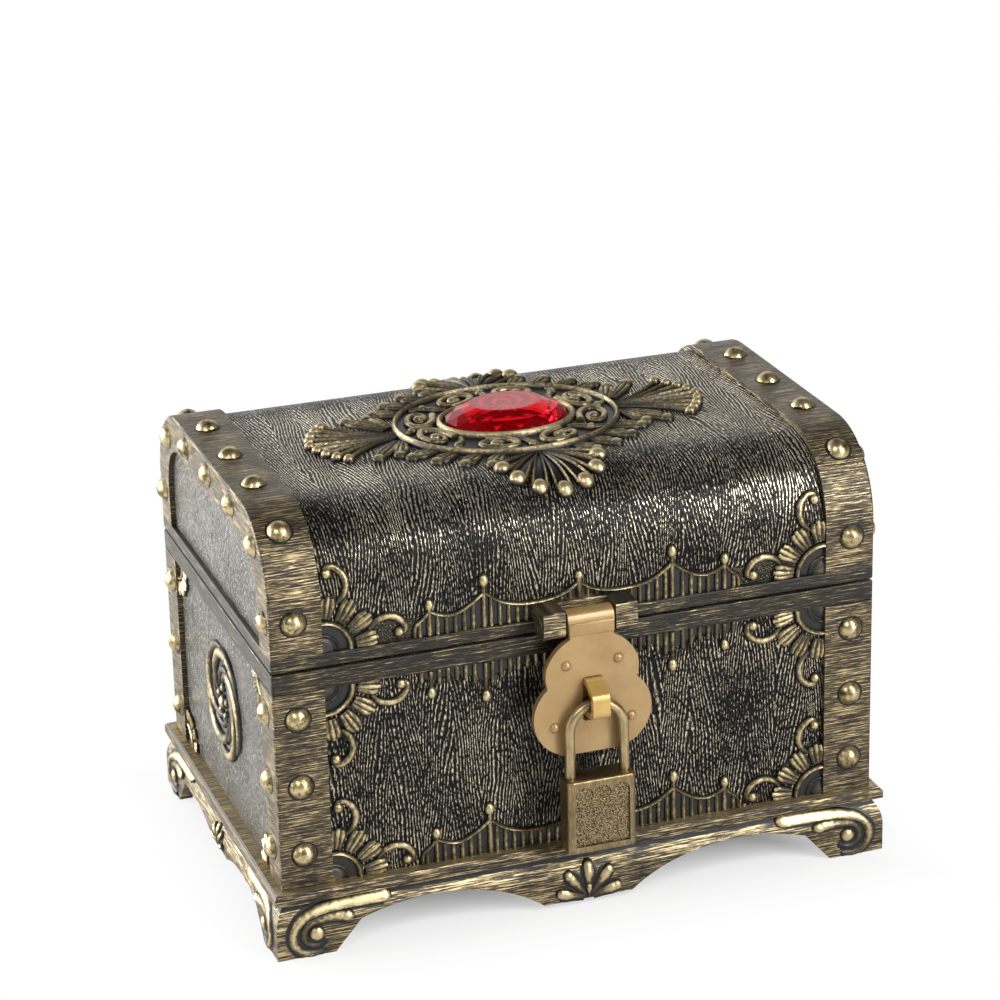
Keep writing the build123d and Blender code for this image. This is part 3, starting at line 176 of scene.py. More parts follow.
def in_edit(piece, *steps):
    """Runs edit mode steps on the whole of one piece."""
    pick(piece)
    bpy.ops.object.mode_set(mode="EDIT")
    bpy.ops.mesh.select_all(action="SELECT")
    for step in steps:
        step()
    bpy.ops.object.mode_set(mode="OBJECT")


def joined(pieces, name):
    """Joins mesh objects into one, with its place in its mesh."""
    pick(*pieces)
    if len(pieces) > 1:
        bpy.ops.object.join()
    piece = bpy.context.view_layer.objects.active
    bpy.ops.object.transform_apply(location=True, rotation=True, scale=True)
    piece.name = name
    return piece


def apply_modifier(piece, kind, **settings):
    pick(piece)
    modifier = piece.modifiers.new(kind.lower(), kind)
    for key, value in settings.items():
        setattr(modifier, key, value)
    bpy.ops.object.modifier_apply(modifier=modifier.name)


def smooth(piece, degrees):
    pick(piece)
    bpy.ops.object.shade_smooth_by_angle(angle=math.radians(degrees))


def bead(u, v, radius, rise, stretch=1, turn=0, lift=0):
    """A ball in millimetres on a flat carving, with its own rise, stretched along its turn in degrees."""
    bpy.ops.mesh.primitive_uv_sphere_add(
        segments=14, ring_count=8, radius=MM, location=(u * MM, v * MM, lift * MM)
    )
    ball = bpy.context.object
    ball.rotation_euler = (0, 0, math.radians(turn))
    ball.scale = (radius * stretch, radius, rise)
    bpy.ops.object.transform_apply(location=True, rotation=True, scale=True)
    return ball


def ridge(points, radii, flat, closed=False, steps=5, lift=0):
    """A round ridge in millimetres along a smooth path on a flat carving."""
    if not isinstance(radii, (list, tuple)):
        radii = [radii] * len(points)
    bpy.ops.curve.primitive_bezier_curve_add(location=(0, 0, 0))
    curve = bpy.context.object
    curve.data.dimensions = "3D"
    spline = curve.data.splines[0]
    spline.bezier_points.add(len(points) - len(spline.bezier_points))
    for point, place, radius in zip(spline.bezier_points, points, radii):
        point.co = (place[0] * MM, place[1] * MM, lift * MM)
        point.handle_left_type = "AUTO"
        point.handle_right_type = "AUTO"
        point.radius = radius
    spline.use_cyclic_u = closed
    curve.data.bevel_depth = MM
    curve.data.bevel_resolution = 2
    curve.data.resolution_u = steps
    curve.data.use_fill_caps = not closed
    bpy.ops.object.convert(target="MESH")
    made = bpy.context.object
    made.scale = (1, 1, flat)
    bpy.ops.object.transform_apply(location=True, rotation=True, scale=True)
    return made


def polar(radius, turn):
    return radius * math.cos(math.radians(turn)), radius * math.sin(math.radians(turn))


def ray(root, turn, near, far, shares):
    """Places on a line from a root at a turn in degrees, at shares of the way from near to far."""
    places = [polar(near + (far - near) * share, turn) for share in shares]
    return [(root[0] + u, root[1] + v) for u, v in places]


def beside(places, offsets, turn):
    """The same places moved sideways off a line that runs at a turn in degrees."""
    moved = []
    for (u, v), offset in zip(places, offsets):
        across = polar(offset, turn + 90)
        moved.append((u + across[0], v + across[1]))
    return moved


def petal(turn, near, far, width, rise, root=(0, 0), ball=0.0, spreads=(0.45, 0.8, 1.0, 0.62)):
    """A petal of three grooved lobes that points away from its root, with a ball at its tip if asked."""
    shares = (0.0, 0.35, 0.72, 1.0)
    lobe, spacing, shorter = width * 0.22, width * 0.33, width * 0.12
    radii = [lobe * (0.35 + 0.7 * spread) for spread in spreads]
    lobes = []
    for side, reach, height in ((-1, far - shorter, rise), (0, far, rise * 1.12), (1, far - shorter, rise)):
        offsets = [side * spacing * spread for spread in spreads]
        path = beside(ray(root, turn, near, reach, shares), offsets, turn)
        lobes.append(ridge(path, radii, height / lobe, steps=3))
    ground = [width / 2 * spread + 0.45 for spread in spreads]
    lobes.append(ridge(ray(root, turn, near, far, shares), ground, 0.4 / width, steps=3))
    if ball:
        lobes.append(bead(*ray(root, turn, near, far, (1.0,))[0], ball, rise * 1.25))
    return lobes


def teardrop(turn, near, far, width, rise, root):
    """A plump petal that swells towards a round tip, over a low dark ground."""
    path = ray(root, turn, near, far, (0.0, 0.4, 0.78, 1.0))
    half, margin, low = width / 2, 0.7, 0.2
    radii = [half * share for share in (0.35, 0.62, 1.0, 0.9)]
    return [
        ridge(path, [radius + margin for radius in radii], low / (half + margin), steps=3),
        ridge(path, radii, rise / half, steps=4),
        bead(*path[-1], half * 0.93, rise * 0.96),
    ]


def trimmed(piece, *quadrant):
    """Cuts away what lies under the carving's ground or outside its quadrant, and closes the cuts."""
    for normal in ((0, 0, 1), *quadrant):
        place = (0, 0, -sink) if normal[2] else (0, 0, 0)
        cut = dict(plane_co=place, plane_no=normal, use_fill=True, clear_inner=True)
        in_edit(piece, lambda: bpy.ops.mesh.bisect(**cut))
    return piece


def laid(flat, surface, flip, shift, mirror=(1, 1), rubbed=1.0):
    """A copy of a flat carving on a surface. Each point's rise in millimetres is kept as its lift."""
    piece = flat.copy()
    piece.data = flat.data.copy()
    bpy.context.scene.collection.objects.link(piece)
    lift = piece.data.attributes.new("lift", "FLOAT", "POINT")
    for vertex in piece.data.vertices:
        u, v, rise = vertex.co
        lift.data[vertex.index].value = rubbed * max(0, rise / MM)
        place = surface(shift[0] + flip[0] * u, shift[1] + flip[1] * v, rise)
        place.x *= mirror[0]
        if mirror[1] < 0:
            place.y = 2 * middle_y - place.y
        vertex.co = place
    return piece


def carved(copies, name, node, flats=()):
    """Joins laid copies into the finished carving that stands for a node."""
    piece = joined(copies, name)
    in_edit(piece, lambda: bpy.ops.mesh.normals_make_consistent(inside=False))
    smooth(piece, 60)
    for flat in flats:
        bpy.data.objects.remove(flat)
    return finished(piece, frame["nodes"][node]["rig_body"], finishes[node], node)


def finished(piece, body, finish, node=None, coats=()):
    """Gives a piece its coats, or else its finish's coat, and its body, and hides the node that it stands
    for.
    """
    piece.data.materials.clear()
    for coat in coats or (finish_coats[finish],):
        piece.data.materials.append(coat)
    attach(piece, body)
    if node:
        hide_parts(node)
    return piece


# Materials

class Net:
    """The nodes of a material or of the world being wired up."""

    def __init__(self, owner):
        self.owner = owner
        owner.use_nodes = True
        self.tree = owner.node_tree
        self.shader = self.tree.nodes.get("Principled BSDF") or self.tree.nodes["Background"]

    def put(self, socket, value):
        """Links a socket to another one, or gives it a value. A colour is three numbers."""
        if isinstance(value, bpy.types.NodeSocket):
            self.tree.links.new(value, socket)
        else:
            socket.default_value = (*value, 1) if socket.type == "RGBA" else value

    def node(self, kind, *values, **settings):
        """A new node with these settings, and with these values in its first sockets."""
        node = self.tree.nodes.new(kind)
        for key, setting in settings.items():
            setattr(node, key, setting)
        for socket, value in zip(node.inputs, values):
            self.put(socket, value)
        return node

    def calc(self, operation, *values, clamp=False):
        return self.node("ShaderNodeMath", *values, operation=operation, use_clamp=clamp).outputs[0]

    def parts(self, vector):
        return self.node("ShaderNodeSeparateXYZ", vector).outputs

    def grain(self):
        """The piece's own course in millimetres: along the streaks, and across them."""
        course = self.parts(self.node("ShaderNodeUVMap", uv_map="course").outputs[0])
        return [self.calc("MULTIPLY", part, 1 / MM) for part in course[:2]]

    def place(self):
        """Object coordinates in millimetres."""
        place = self.node("ShaderNodeTexCoord").outputs["Object"]
        scale = self.node("ShaderNodeVectorMath", place, operation="SCALE")
        scale.inputs["Scale"].default_value = 1 / MM
        return scale.outputs[0]

    def spread(self, *values):
        return self.node("ShaderNodeCombineXYZ", *values).outputs[0]

    def noise(self, vector, scale, detail, rough=0.5):
        node = self.node("ShaderNodeTexNoise", vector)
        for name, value in (("Scale", scale), ("Detail", detail), ("Roughness", rough)):
            node.inputs[name].default_value = value
        return node.outputs[0]

    def strokes(self, along, up, length, width, detail, rough=0.5):
        """Noise drawn out to a length along a piece's course and a width across it, in millimetres."""
        spot = self.spread(self.calc("DIVIDE", along, length), self.calc("DIVIDE", up, width))
        return self.noise(spot, 1.0, detail, rough)

    def total(self, *terms):
        """Adds sockets up, each alone or with a factor."""
        running = None
        for term in terms:
            value = self.calc("MULTIPLY", *term) if isinstance(term, tuple) else term
            running = value if running is None else self.calc("ADD", running, value)
        return running

    def step(self, value, low, high, to_low=0.0, to_high=1.0):
        levels = (value, low, high, to_low, to_high)
        return self.node("ShaderNodeMapRange", *levels, interpolation_type="SMOOTHSTEP").outputs[0]

    def ramp(self, value, *stops):
        node = self.node("ShaderNodeValToRGB", value)
        bar = node.color_ramp.elements
        while len(bar) < len(stops):
            bar.new(0.5)
        for element, (place, colour) in zip(bar, stops):
            element.position = place
            element.color = (*colour, 1)
        return node.outputs[0]

    def mix(self, share, first, second):
        node = self.node("ShaderNodeMix", share, data_type="RGBA")
        for name, value in (("A", first), ("B", second)):
            self.put([s for s in node.inputs if s.name == name and s.type == "RGBA"][0], value)
        return [s for s in node.outputs if s.type == "RGBA"][0]

    def bump(self, height, depth):
        """Raises the surface by a height of 0 to 1 over a depth in millimetres."""
        node = self.node("ShaderNodeBump")
        node.inputs["Distance"].default_value = depth * MM
        self.put(node.inputs["Height"], height)
        self.put(self.shader.inputs["Normal"], node.outputs[0])

    def lift(self):
        return self.node("ShaderNodeAttribute", attribute_name="lift").outputs["Fac"]

    def seen(self):
        """1 where the camera looks, straight or through the stone, and 0 elsewhere."""
        path = self.node("ShaderNodeLightPath")
        return self.calc("MAXIMUM", path.outputs["Is Camera Ray"], path.outputs["Is Transmission Ray"])

    def done(self, colour, metallic, roughness, **more):
        values = {"Base_Color": colour, "Metallic": metallic, "Roughness": roughness, **more}
        for name, value in values.items():
            self.put(self.shader.inputs[name.replace("_", " ")], value)
        return self.owner


def coat_net(name):
    return Net(bpy.data.materials.new(name))


def grained_coat():
    """Black lacquer embossed with wavy wood grain, its ridges dry-brushed with pale gold, and a painted sheen
    on the ends and the lid's flat top.
    """
    net = coat_net("grained_lacquer")
    along, up = net.grain()
    sway = net.strokes(along, up, length=9.0, width=40.0, detail=1.0)
    wander = net.strokes(along, up, length=14.0, width=26.0, detail=2.0)
    jag = net.strokes(along, up, length=1.3, width=3.6, detail=2.0)
    # about one line of grain to a millimetre, leaning one way and then the other
    fold = net.calc("PINGPONG", net.total(along, (sway, 5.5)), 9.0)
    count = net.total((fold, 1.06), (up, 0.11), (wander, 1.9), (jag, 0.85))
    wave = net.calc("SINE", net.calc("MULTIPLY", count, 2 * math.pi))
    crest = net.step(wave, -0.65, 0.78)
    worn = net.strokes(along, up, length=0.5, width=1.2, detail=2.0)
    patch = net.strokes(along, up, length=20.0, width=15.0, detail=3.0)
    # the ends and the lid's flat top are painted paler, with more gold and, on the ends, a greyer black and
    # gold: a painted sheen for the light they reflect
    end_sheen = net.step(net.calc("ABSOLUTE", along), 150.0, 200.0)
    reach = net.calc("ABSOLUTE", net.calc("SUBTRACT", up, (lid_course + lid_half_path) / MM))
    top = net.step(reach, lid_flat_half / MM + 4, lid_flat_half / MM - 8)
    rub_and_sheen = net.step(net.total(worn, (patch, 0.4), (end_sheen, 0.14), (top, 0.14)), 0.6, 0.91)
    gold_and_sheen = net.calc("MULTIPLY", net.calc("POWER", crest, 2.4), rub_and_sheen, clamp=True)
    pale_and_end_sheen = net.mix(end_sheen, (0.62, 0.54, 0.39), (0.6, 0.57, 0.5))
    black_and_end_sheen = net.mix(end_sheen, (0.0045, 0.0042, 0.005), (0.022, 0.022, 0.023))
    net.bump(crest, 0.55)
    return net.done(
        net.mix(gold_and_sheen, black_and_end_sheen, pale_and_end_sheen),
        net.calc("MULTIPLY", gold_and_sheen, 0.9),
        net.step(gold_and_sheen, 0.0, 1.0, 0.3, 0.21),
        Specular_IOR_Level=0.12,
    )


def streak_coat(name, dark, middle, bright, cover):
    """Gold paint brushed over black, in streaks along a piece's course."""
    net = coat_net(name)
    along, up = net.grain()
    long_one = net.strokes(along, up, length=11.0, width=0.4, detail=4.0, rough=0.6)
    short_one = net.strokes(along, up, length=3.2, width=0.17, detail=3.0, rough=0.6)
    patch = net.strokes(along, up, length=15.0, width=8.0, detail=2.0)
    brushed = net.total((long_one, 0.62), (short_one, 0.38), (patch, 0.1))
    soft = 0.085
    paint = net.step(brushed, cover - soft, cover + soft)
    colour = net.ramp(paint, (0.0, dark), (0.5, middle), (1.0, bright))
    net.bump(net.total(long_one, (short_one, 0.5)), 0.16)
    return net.done(
        colour,
        net.step(paint, 0.0, 0.8, 0.1, 0.9),
        net.step(paint, 0.0, 1.0, 0.36, 0.4),
        Specular_IOR_Level=0.25,
        Coat_Weight=0.1,
        Coat_Roughness=0.35,
    )


def relief_coat():
    """Raised ornament: black in its hollows and rubbed gold on its crests."""
    net = coat_net("rubbed_gold_relief")
    place = net.place()
    fleck = net.noise(place, 0.9, 4.0, 0.6)
    sweep = net.noise(place, 0.16, 3.0)
    height = net.total(net.lift(), (fleck, 0.9), (sweep, 0.6))
    paint = net.step(height, 1.05, 1.95)
    colour = net.ramp(
        paint, (0.0, (0.006, 0.0055, 0.005)), (0.5, (0.1, 0.077, 0.04)), (1.0, (0.54, 0.44, 0.25))
    )
    net.bump(fleck, 0.08)
    return net.done(colour, net.step(paint, 0.0, 0.7, 0.2, 0.88), net.step(paint, 0.0, 1.0, 0.4, 0.4))


def stud_coat():
    """Bright gold domes with a little black left in the paint."""
    net = coat_net("bright_stud_gold")
    place = net.place()
    patch = net.noise(place, 0.42, 3.0, 0.6)
    fine = net.noise(place, 2.2, 2.0)
    paint = net.step(net.total(patch, (fine, 0.25)), 0.42, 0.74)
    colour = net.ramp(
        paint, (0.0, (0.05, 0.037, 0.018)), (0.4, (0.25, 0.19, 0.09)), (1.0, (0.56, 0.46, 0.26))
    )
    net.bump(fine, 0.05)
    return net.done(colour, net.step(paint, 0.0, 0.4, 0.7, 0.92), net.step(paint, 0.0, 1.0, 0.42, 0.32))


def flock_coat():
    net = coat_net("black_flock")
    place = net.place()
    nap = net.noise(place, 4.0, 3.0, 0.7)
    cloud = net.noise(place, 0.05, 2.0)
    tint = net.total((nap, 0.5), (cloud, 0.5))
    colour = net.ramp(tint, (0.3, (0.0035, 0.0035, 0.004)), (0.75, (0.012, 0.012, 0.013)))
    net.bump(nap, 0.12)
    return net.done(colour, 0.0, 0.95, Sheen_Weight=0.12, Sheen_Roughness=0.5, Specular_IOR_Level=0.2)


def lacquer_coat(name, low, middle, high):
    """The glossy enamel of the hasp and its staple."""
    net = coat_net(name)
    place = net.place()
    cloud = net.noise(place, 0.11, 3.0)
    fleck = net.noise(place, 1.7, 3.0, 0.65)
    colour = net.ramp(net.total((cloud, 0.7), (fleck, 0.3)), (0.3, low), (0.52, middle), (0.75, high))
    net.bump(fleck, 0.03)
    return net.done(colour, 0.35, net.step(fleck, 0.3, 0.7, 0.3, 0.4), Coat_Weight=0.25, Coat_Roughness=0.22)


def brass_coat(name, dark, bright, stipple=False, cover=0.5):
    """Aged brass: brushed lengthwise where it is plain, or pitted where it is stippled."""
    net = coat_net(name)
    place = net.place()
    cloud = net.noise(place, 0.22, 3.0, 0.6)
    if stipple:
        pits = net.noise(place, 2.6, 1.0)
        paint, soft, depth = net.total((pits, 0.9), (cloud, 0.1)), 0.07, 0.3
    else:
        scales = zip(net.parts(place), (3.2, 3.2, 0.35))
        drawn = [net.calc("MULTIPLY", part, scale) for part, scale in scales]
        pits = net.noise(net.spread(*drawn), 1.0, 3.0, 0.6)
        paint, soft, depth = net.total((pits, 0.55), (cloud, 0.45)), 0.2, 0.03
    paint = net.step(paint, cover - soft, cover + soft)
    colour = net.ramp(paint, (0.0, dark), (1.0, bright))
    net.bump(pits, depth)
    return net.done(colour, net.step(paint, 0.0, 0.6, 0.7, 1.0), net.step(paint, 0.0, 1.0, 0.42, 0.3))


def steel_coat():
    net = coat_net("plain_steel")
    fine = net.noise(net.place(), 1.5, 4.0, 0.6)
    colour = net.ramp(fine, (0.3, (0.3, 0.3, 0.3)), (0.7, (0.55, 0.54, 0.52)))
    net.bump(fine, 0.03)
    return net.done(colour, 1.0, net.step(fine, 0.3, 0.7, 0.35, 0.22))


def gem_coat():
    net = coat_net("red_stone")
    cloud = net.noise(net.place(), 0.09, 2.0)
    colour = net.ramp(cloud, (0.35, (0.72, 0.003, 0.012)), (0.65, (0.85, 0.01, 0.022)))
    return net.done(colour, 0.0, 0.03, Transmission_Weight=0.92, IOR=1.54)


def foil_coat():
    """The mirror foil behind the stone."""
    net = coat_net("stone_foil")
    cloud = net.noise(net.place(), 0.3, 2.0)
    colour = net.ramp(cloud, (0.3, (0.8, 0.1, 0.1)), (0.7, (0.95, 0.25, 0.22)))
    return net.done(colour, 0.6, 0.12)


finish_coats = {
    "grained_panel": grained_coat(),
    "antique_gold": streak_coat(
        "brushed_antique_gold", (0.01, 0.008, 0.0055), (0.14, 0.104, 0.053), (0.59, 0.468, 0.26), cover=0.59
    ),
    "relief_gold": relief_coat(),
    "stud_gold": stud_coat(),
    "black_flock": flock_coat(),
    "tan_hasp": lacquer_coat("tan_enamel", (0.26, 0.162, 0.064), (0.32, 0.206, 0.084), (0.37, 0.25, 0.112)),
    "aged_brass": brass_coat("aged_brass", (0.25, 0.185, 0.095), (0.5, 0.385, 0.21)),
    "hinge_brass": brass_coat("hinge_brass", (0.16, 0.125, 0.065), (0.5, 0.4, 0.22)),
    "plain_steel": steel_coat(),
    "red_gem": gem_coat(),
}
worn_edge = streak_coat(
    "worn_gold_edge", (0.03, 0.024, 0.012), (0.27, 0.21, 0.11), (0.62, 0.51, 0.3), cover=0.55
)
# A near-black copy of the brushed coat, used as painted shade at the shells' seam, in the padlock's sunk
# frame, under the plinth's ledge and round the studs' feet
painted_shade = streak_coat(
    "painted_shade_black", (0.003, 0.003, 0.003), (0.01, 0.008, 0.006), (0.16, 0.125, 0.065), cover=0.79
)
rim_gold = streak_coat(
    "brushed_rim_gold", (0.008, 0.0065, 0.0045), (0.14, 0.105, 0.052), (0.6, 0.48, 0.26), cover=0.64
)
# A lighter copy of the brushed gold, a painted highlight on faces turned towards the front or upwards
painted_highlight_gold = streak_coat(
    "brushed_gold_painted_highlight", (0.01, 0.009, 0.007), (0.17, 0.13, 0.07), (0.62, 0.5, 0.28), cover=0.575
)
case_brass = brass_coat("case_brass", (0.12, 0.086, 0.041), (0.34, 0.256, 0.132))
polished_edge = brass_coat("polished_brass_edge", (0.3, 0.23, 0.12), (0.8, 0.67, 0.43), cover=0.45)
stippled = brass_coat("stippled_brass", (0.03, 0.022, 0.011), (0.3, 0.226, 0.116), stipple=True)
staple_enamel = lacquer_coat("ochre_enamel", (0.36, 0.22, 0.06), (0.45, 0.29, 0.085), (0.54, 0.36, 0.12))


# CAD pieces, softened and given their course

def lay_course(piece):
    """Writes the course that streaks and grain follow: level round the chest, and up over its lid."""
    course = piece.data.uv_layers.new(name="course")
    for face in piece.data.polygons:
        normal = face.normal
        sideways = abs(normal.x) > turned
        for corner in face.loop_indices:
            place = piece.data.vertices[piece.data.loops[corner].vertex_index].co
            level = place.y + end_course * math.copysign(1, normal.x) if sideways else place.x
            if sideways:
                up = place.z
            elif place.z > lid_bottom:
                up = lid_course + lid_path(place.y, place.z)
            elif abs(normal.z) > turned:
                up = place.y
            else:
                up = place.z + (rear_course if normal.y > 0 else 0)
            course.data[corner].uv = (level, up)


def dressed(node, edge, edge_coat=None):
    """A merged copy of a CAD node that stands for it, its edges softened by a width in millimetres."""
    source = frame["nodes"][node]
    piece = bpy.data.objects.new(node + "_finish", source.data.copy())
    bpy.context.scene.collection.objects.link(piece)
    in_edit(
        piece,
        lambda: bpy.ops.mesh.remove_doubles(threshold=0.01 * MM),
        lambda: bpy.ops.mesh.dissolve_limited(angle_limit=math.radians(0.4)),
    )
    for layer in list(piece.data.uv_layers):
        piece.data.uv_layers.remove(layer)
    finish = finishes[node]
    coats = [finish_coats[finish]] + ([edge_coat] if edge_coat else [])
    piece.data.materials.clear()
    for coat in coats:
        piece.data.materials.append(coat)
    for face in piece.data.polygons:
        face.material_index = 0
    if edge:
        corner = math.radians(40)
        apply_modifier(
            piece, "BEVEL", width=edge * MM, segments=2, limit_method="ANGLE", angle_limit=corner,
            material=len(coats) - 1,
        )
    smooth(piece, 35)
    apply_modifier(piece, "WEIGHTED_NORMAL", keep_sharp=True)
    lay_course(piece)
    return finished(piece, source["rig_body"], finish, node, coats)


def recoat(piece, coat, wanted):
    """Puts a coat on those faces of a piece that are wanted."""
    coats = piece.data.materials
    if coats.find(coat.name) < 0:
        coats.append(coat)
    for face in piece.data.polygons:
        if wanted(face):
            face.material_index = coats.find(coat.name)


# the base shell's level faces and the lid's lower edge, at the seam where lid meets base, are painted black
# as painted shade
for node in ("base_shell", "lid_shell"):
    seam = lid_bottom + 1 * MM
    recoat(dressed(node, 0), painted_shade, lambda face: abs(face.normal.z) > squared and face.center.z < seam)
for node in ("base_lining", "lid_lining"):
    dressed(node, 0)
for node in ("base_rim", "lid_rim"):
    dressed(node, 0.5, worn_edge).data.materials[0] = rim_gold
for side in ("front_left", "front_right", "rear_left", "rear_right"):
    dressed("corner_band_" + side, 0.3, worn_edge)
for side in ("left", "right"):
    dressed("lid_band_" + side, 0.35, worn_edge)

# The plinth's flank is brushed, with a black band of painted shadow under the ledge and a lighter gold of
# painted highlight on its upturned faces; the ledge's top takes the worn edges' brighter gold
plinth = dressed("plinth", 0.45, worn_edge)
ogee_end = ogee_start + ogee_height
# faces that turn upwards on the flank's curve get a lighter gold: a painted highlight
recoat(plinth, painted_highlight_gold, lambda face: 0.12 < face.normal.z < 0.7 and face.center.z > ogee_start)
# a black band just under the ledge: a painted shadow
recoat(plinth, painted_shade, lambda face: ogee_end - 1.1 * MM < face.center.z < ogee_end + 0.3 * MM)
recoat(
    plinth, worn_edge, lambda face: face.normal.z > squared and face.center.z > floor_height - 0.5 * MM
)

for node in ("base_studs", "lid_studs"):
    dressed(node, 0)
for node in ("plinth_screws", "padlock_spring", "padlock_latch", "padlock_plug"):
    dressed(node, 0.1)
hinge_leaves = []
for side in ("left", "right"):
    for part in ("hinge_base_leaf_", "hinge_lid_leaf_"):
        dressed(part + side, 0.2, polished_edge)
        hinge_leaves.append(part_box(part + side))
    dressed("hinge_pin_" + side, 0.15)
for node in ("hinge_base_screws", "hinge_lid_screws", "hasp_pin"):
    dressed(node, 0.1)
# the bracket's front faces get a lighter gold: a painted highlight
recoat(dressed("hasp_bracket", 0.4, worn_edge), painted_highlight_gold, lambda face: face.normal.y < -squared)
dressed("hasp_plate", 0.35)

# The end of the hasp's plate, folded round its pin and pressed flat
hasp_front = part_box("hasp_plate")[0].y
axis_height = sum(corner.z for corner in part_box("hasp_pin")) / 2
fold_width, fold_thickness, fold_height, fold_drop = 13.4 * MM, 1.0 * MM, 3.8 * MM, 1.8 * MM
bpy.ops.mesh.primitive_cube_add(size=1, location=(0, hasp_front + 0.1 * MM, axis_height - fold_drop))
fold = bpy.context.object
fold.scale = (fold_width, fold_thickness, fold_height)
fold = joined([fold], "hasp_fold")
apply_modifier(fold, "BEVEL", width=0.3 * MM, segments=3)
smooth(fold, 50)
finished(fold, "hasp", "tan_hasp")

dressed("hasp_rivets", 0)
dressed("staple", 0.2).data.materials[0] = staple_enamel
dressed("padlock_shackle", 0)
dressed("key_ring", 0)
for node in ("key_one", "key_two"):
    dressed(node, 0.25, polished_edge)

# The padlock's case has a stippled face, sunk in a frame whose walls are painted black as painted shade
lock = dressed("padlock_case", 0.4, polished_edge)
lock.data.materials[0] = case_brass
lock_low, lock_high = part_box("padlock_case")
lock_frame = 1.5 * MM


def in_lock_frame(face):
    """Whether a face lies in the sunk part of the padlock's front."""
    x, y, z = face.center
    inside = lock_low.x + lock_frame < x < lock_high.x - lock_frame
    inside = inside and lock_low.z + lock_frame < z < lock_high.z - lock_frame
    return inside and 0.12 * MM < y - lock_low.y < 1.2 * MM


def on_lock_face(face):
    """Whether a face is the floor of the sunk part."""
    return face.normal.y < -squared and 0.3 * MM < face.center.y - lock_low.y < 1.2 * MM


# the sunk frame's walls are painted black: painted shade
recoat(lock, painted_shade, in_lock_frame)
recoat(lock, stippled, on_lock_face)


# Painted shade: a thin dark ring round the foot of each stud

def stud_shade_rings(name, body, places):
    """A thin dark ring of painted shade round the foot of each stud, given by its middle and the way that it
    faces.
    """
    rings = []
    for place, outward in places:
        bpy.ops.mesh.primitive_torus_add(
            major_segments=24, minor_segments=6, major_radius=3.65 * MM, minor_radius=0.34 * MM
        )
        ring = bpy.context.object
        ring.scale = (1, 1, 0.45)
        ring.location = place
        ring.rotation_euler = Vector(outward).to_track_quat("Z", "Y").to_euler()
        rings.append(ring)
    piece = joined(rings, name)
    smooth(piece, 60)
    lay_course(piece)
    return finished(piece, body, "antique_gold", coats=(painted_shade,))


case_half_width = corner_high.x
lid_outer_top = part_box("lid_band_left")[1].z
stud_x = 83 * MM
stud_rows = (30.4 * MM, 51.0 * MM, 71.6 * MM)
end_stud_y, lid_end_stud_y = 52 * MM, 55 * MM
lid_stud_height = 100 * MM
top_stud_places = (-25 * MM, 0, 25 * MM)
frame_stud_drop = 5 * MM
strap_round, frame_round = 25 * MM, 20 * MM
out, up = math.cos(math.radians(53)), math.sin(math.radians(53))
round_y, round_z = case_half_depth - strap_round, lid_outer_top - strap_round
base_places, lid_places = [], []
for end in (-1, 1):
    strap_x, frame_x, endwards = end * stud_x, end * case_half_width, (end, 0, 0)
    for face in (-1, 1):
        strap_y = middle_y + face * case_half_depth
        for row in stud_rows:
            base_places.append(((strap_x, strap_y, row), (0, face, 0)))
            base_places.append(((frame_x, middle_y + face * end_stud_y, row), endwards))
        lid_places.append(((strap_x, strap_y, lid_stud_height), (0, face, 0)))
        lid_places.append(((frame_x, middle_y + face * lid_end_stud_y, lid_stud_height), endwards))
        upwards = (0, face * out, up)
        for x, reach, outward in ((strap_x, strap_round, upwards), (frame_x, frame_round, endwards)):
            y, z = middle_y + face * (round_y + reach * out), round_z + reach * up
            lid_places.append(((x, y, z), outward))
    for y in top_stud_places:
        lid_places.append(((strap_x, middle_y + y, lid_outer_top), (0, 0, 1)))
        lid_places.append(((frame_x, middle_y + y, lid_outer_top - frame_stud_drop), endwards))
stud_shade_rings("base_stud_shade_rings", "base", base_places)
stud_shade_rings("lid_stud_shade_rings", "lid", lid_places)


# Corner fans

def fan_flat(size=1.0, scrolls=True):
    """A quarter fan at a panel's lower left corner, with a scroll past each end."""
    parts = [bead(0, 0, 9.4, 0.35), bead(0, 0, 4.2, 0.85)]
    parts.append(ridge([polar(4.8, t) for t in (-20, 10, 45, 80, 110)], 0.55, 1.5, steps=4))
    parts.append(ridge([polar(8.4, t) for t in (-15, 10, 35, 60, 80, 105)], 0.95, 1.5, steps=4))
    for turn, far in ((8, 16.6), (33, 17.2), (57, 17.2), (82, 16.6)):
        parts += petal(turn, 9.9, far - 0.3, 4.9, 1.3, spreads=(0.6, 0.82, 1.0, 0.82))
    if scrolls:
        path = [(13.6, 4.6), (16.2, 7.0), (19.8, 7.6), (23.0, 5.8), (24.0, 2.9), (22.6, 1.5)]
        ball = (22.2, 2.6)
        for order in (1, -1):
            parts.append(ridge([place[::order] for place in path], (0.7, 1.15, 1.3, 1.25, 1.05, 0.6), 1.15))
            parts.append(bead(*ball[::order], 1.7, 1.6))
    flat = joined(parts, "fan_flat")
    flat.scale = (size, size, 0.5 + size / 2)
    return trimmed(joined([flat], "fan_flat"), (1, 0, 0), (0, 1, 0))


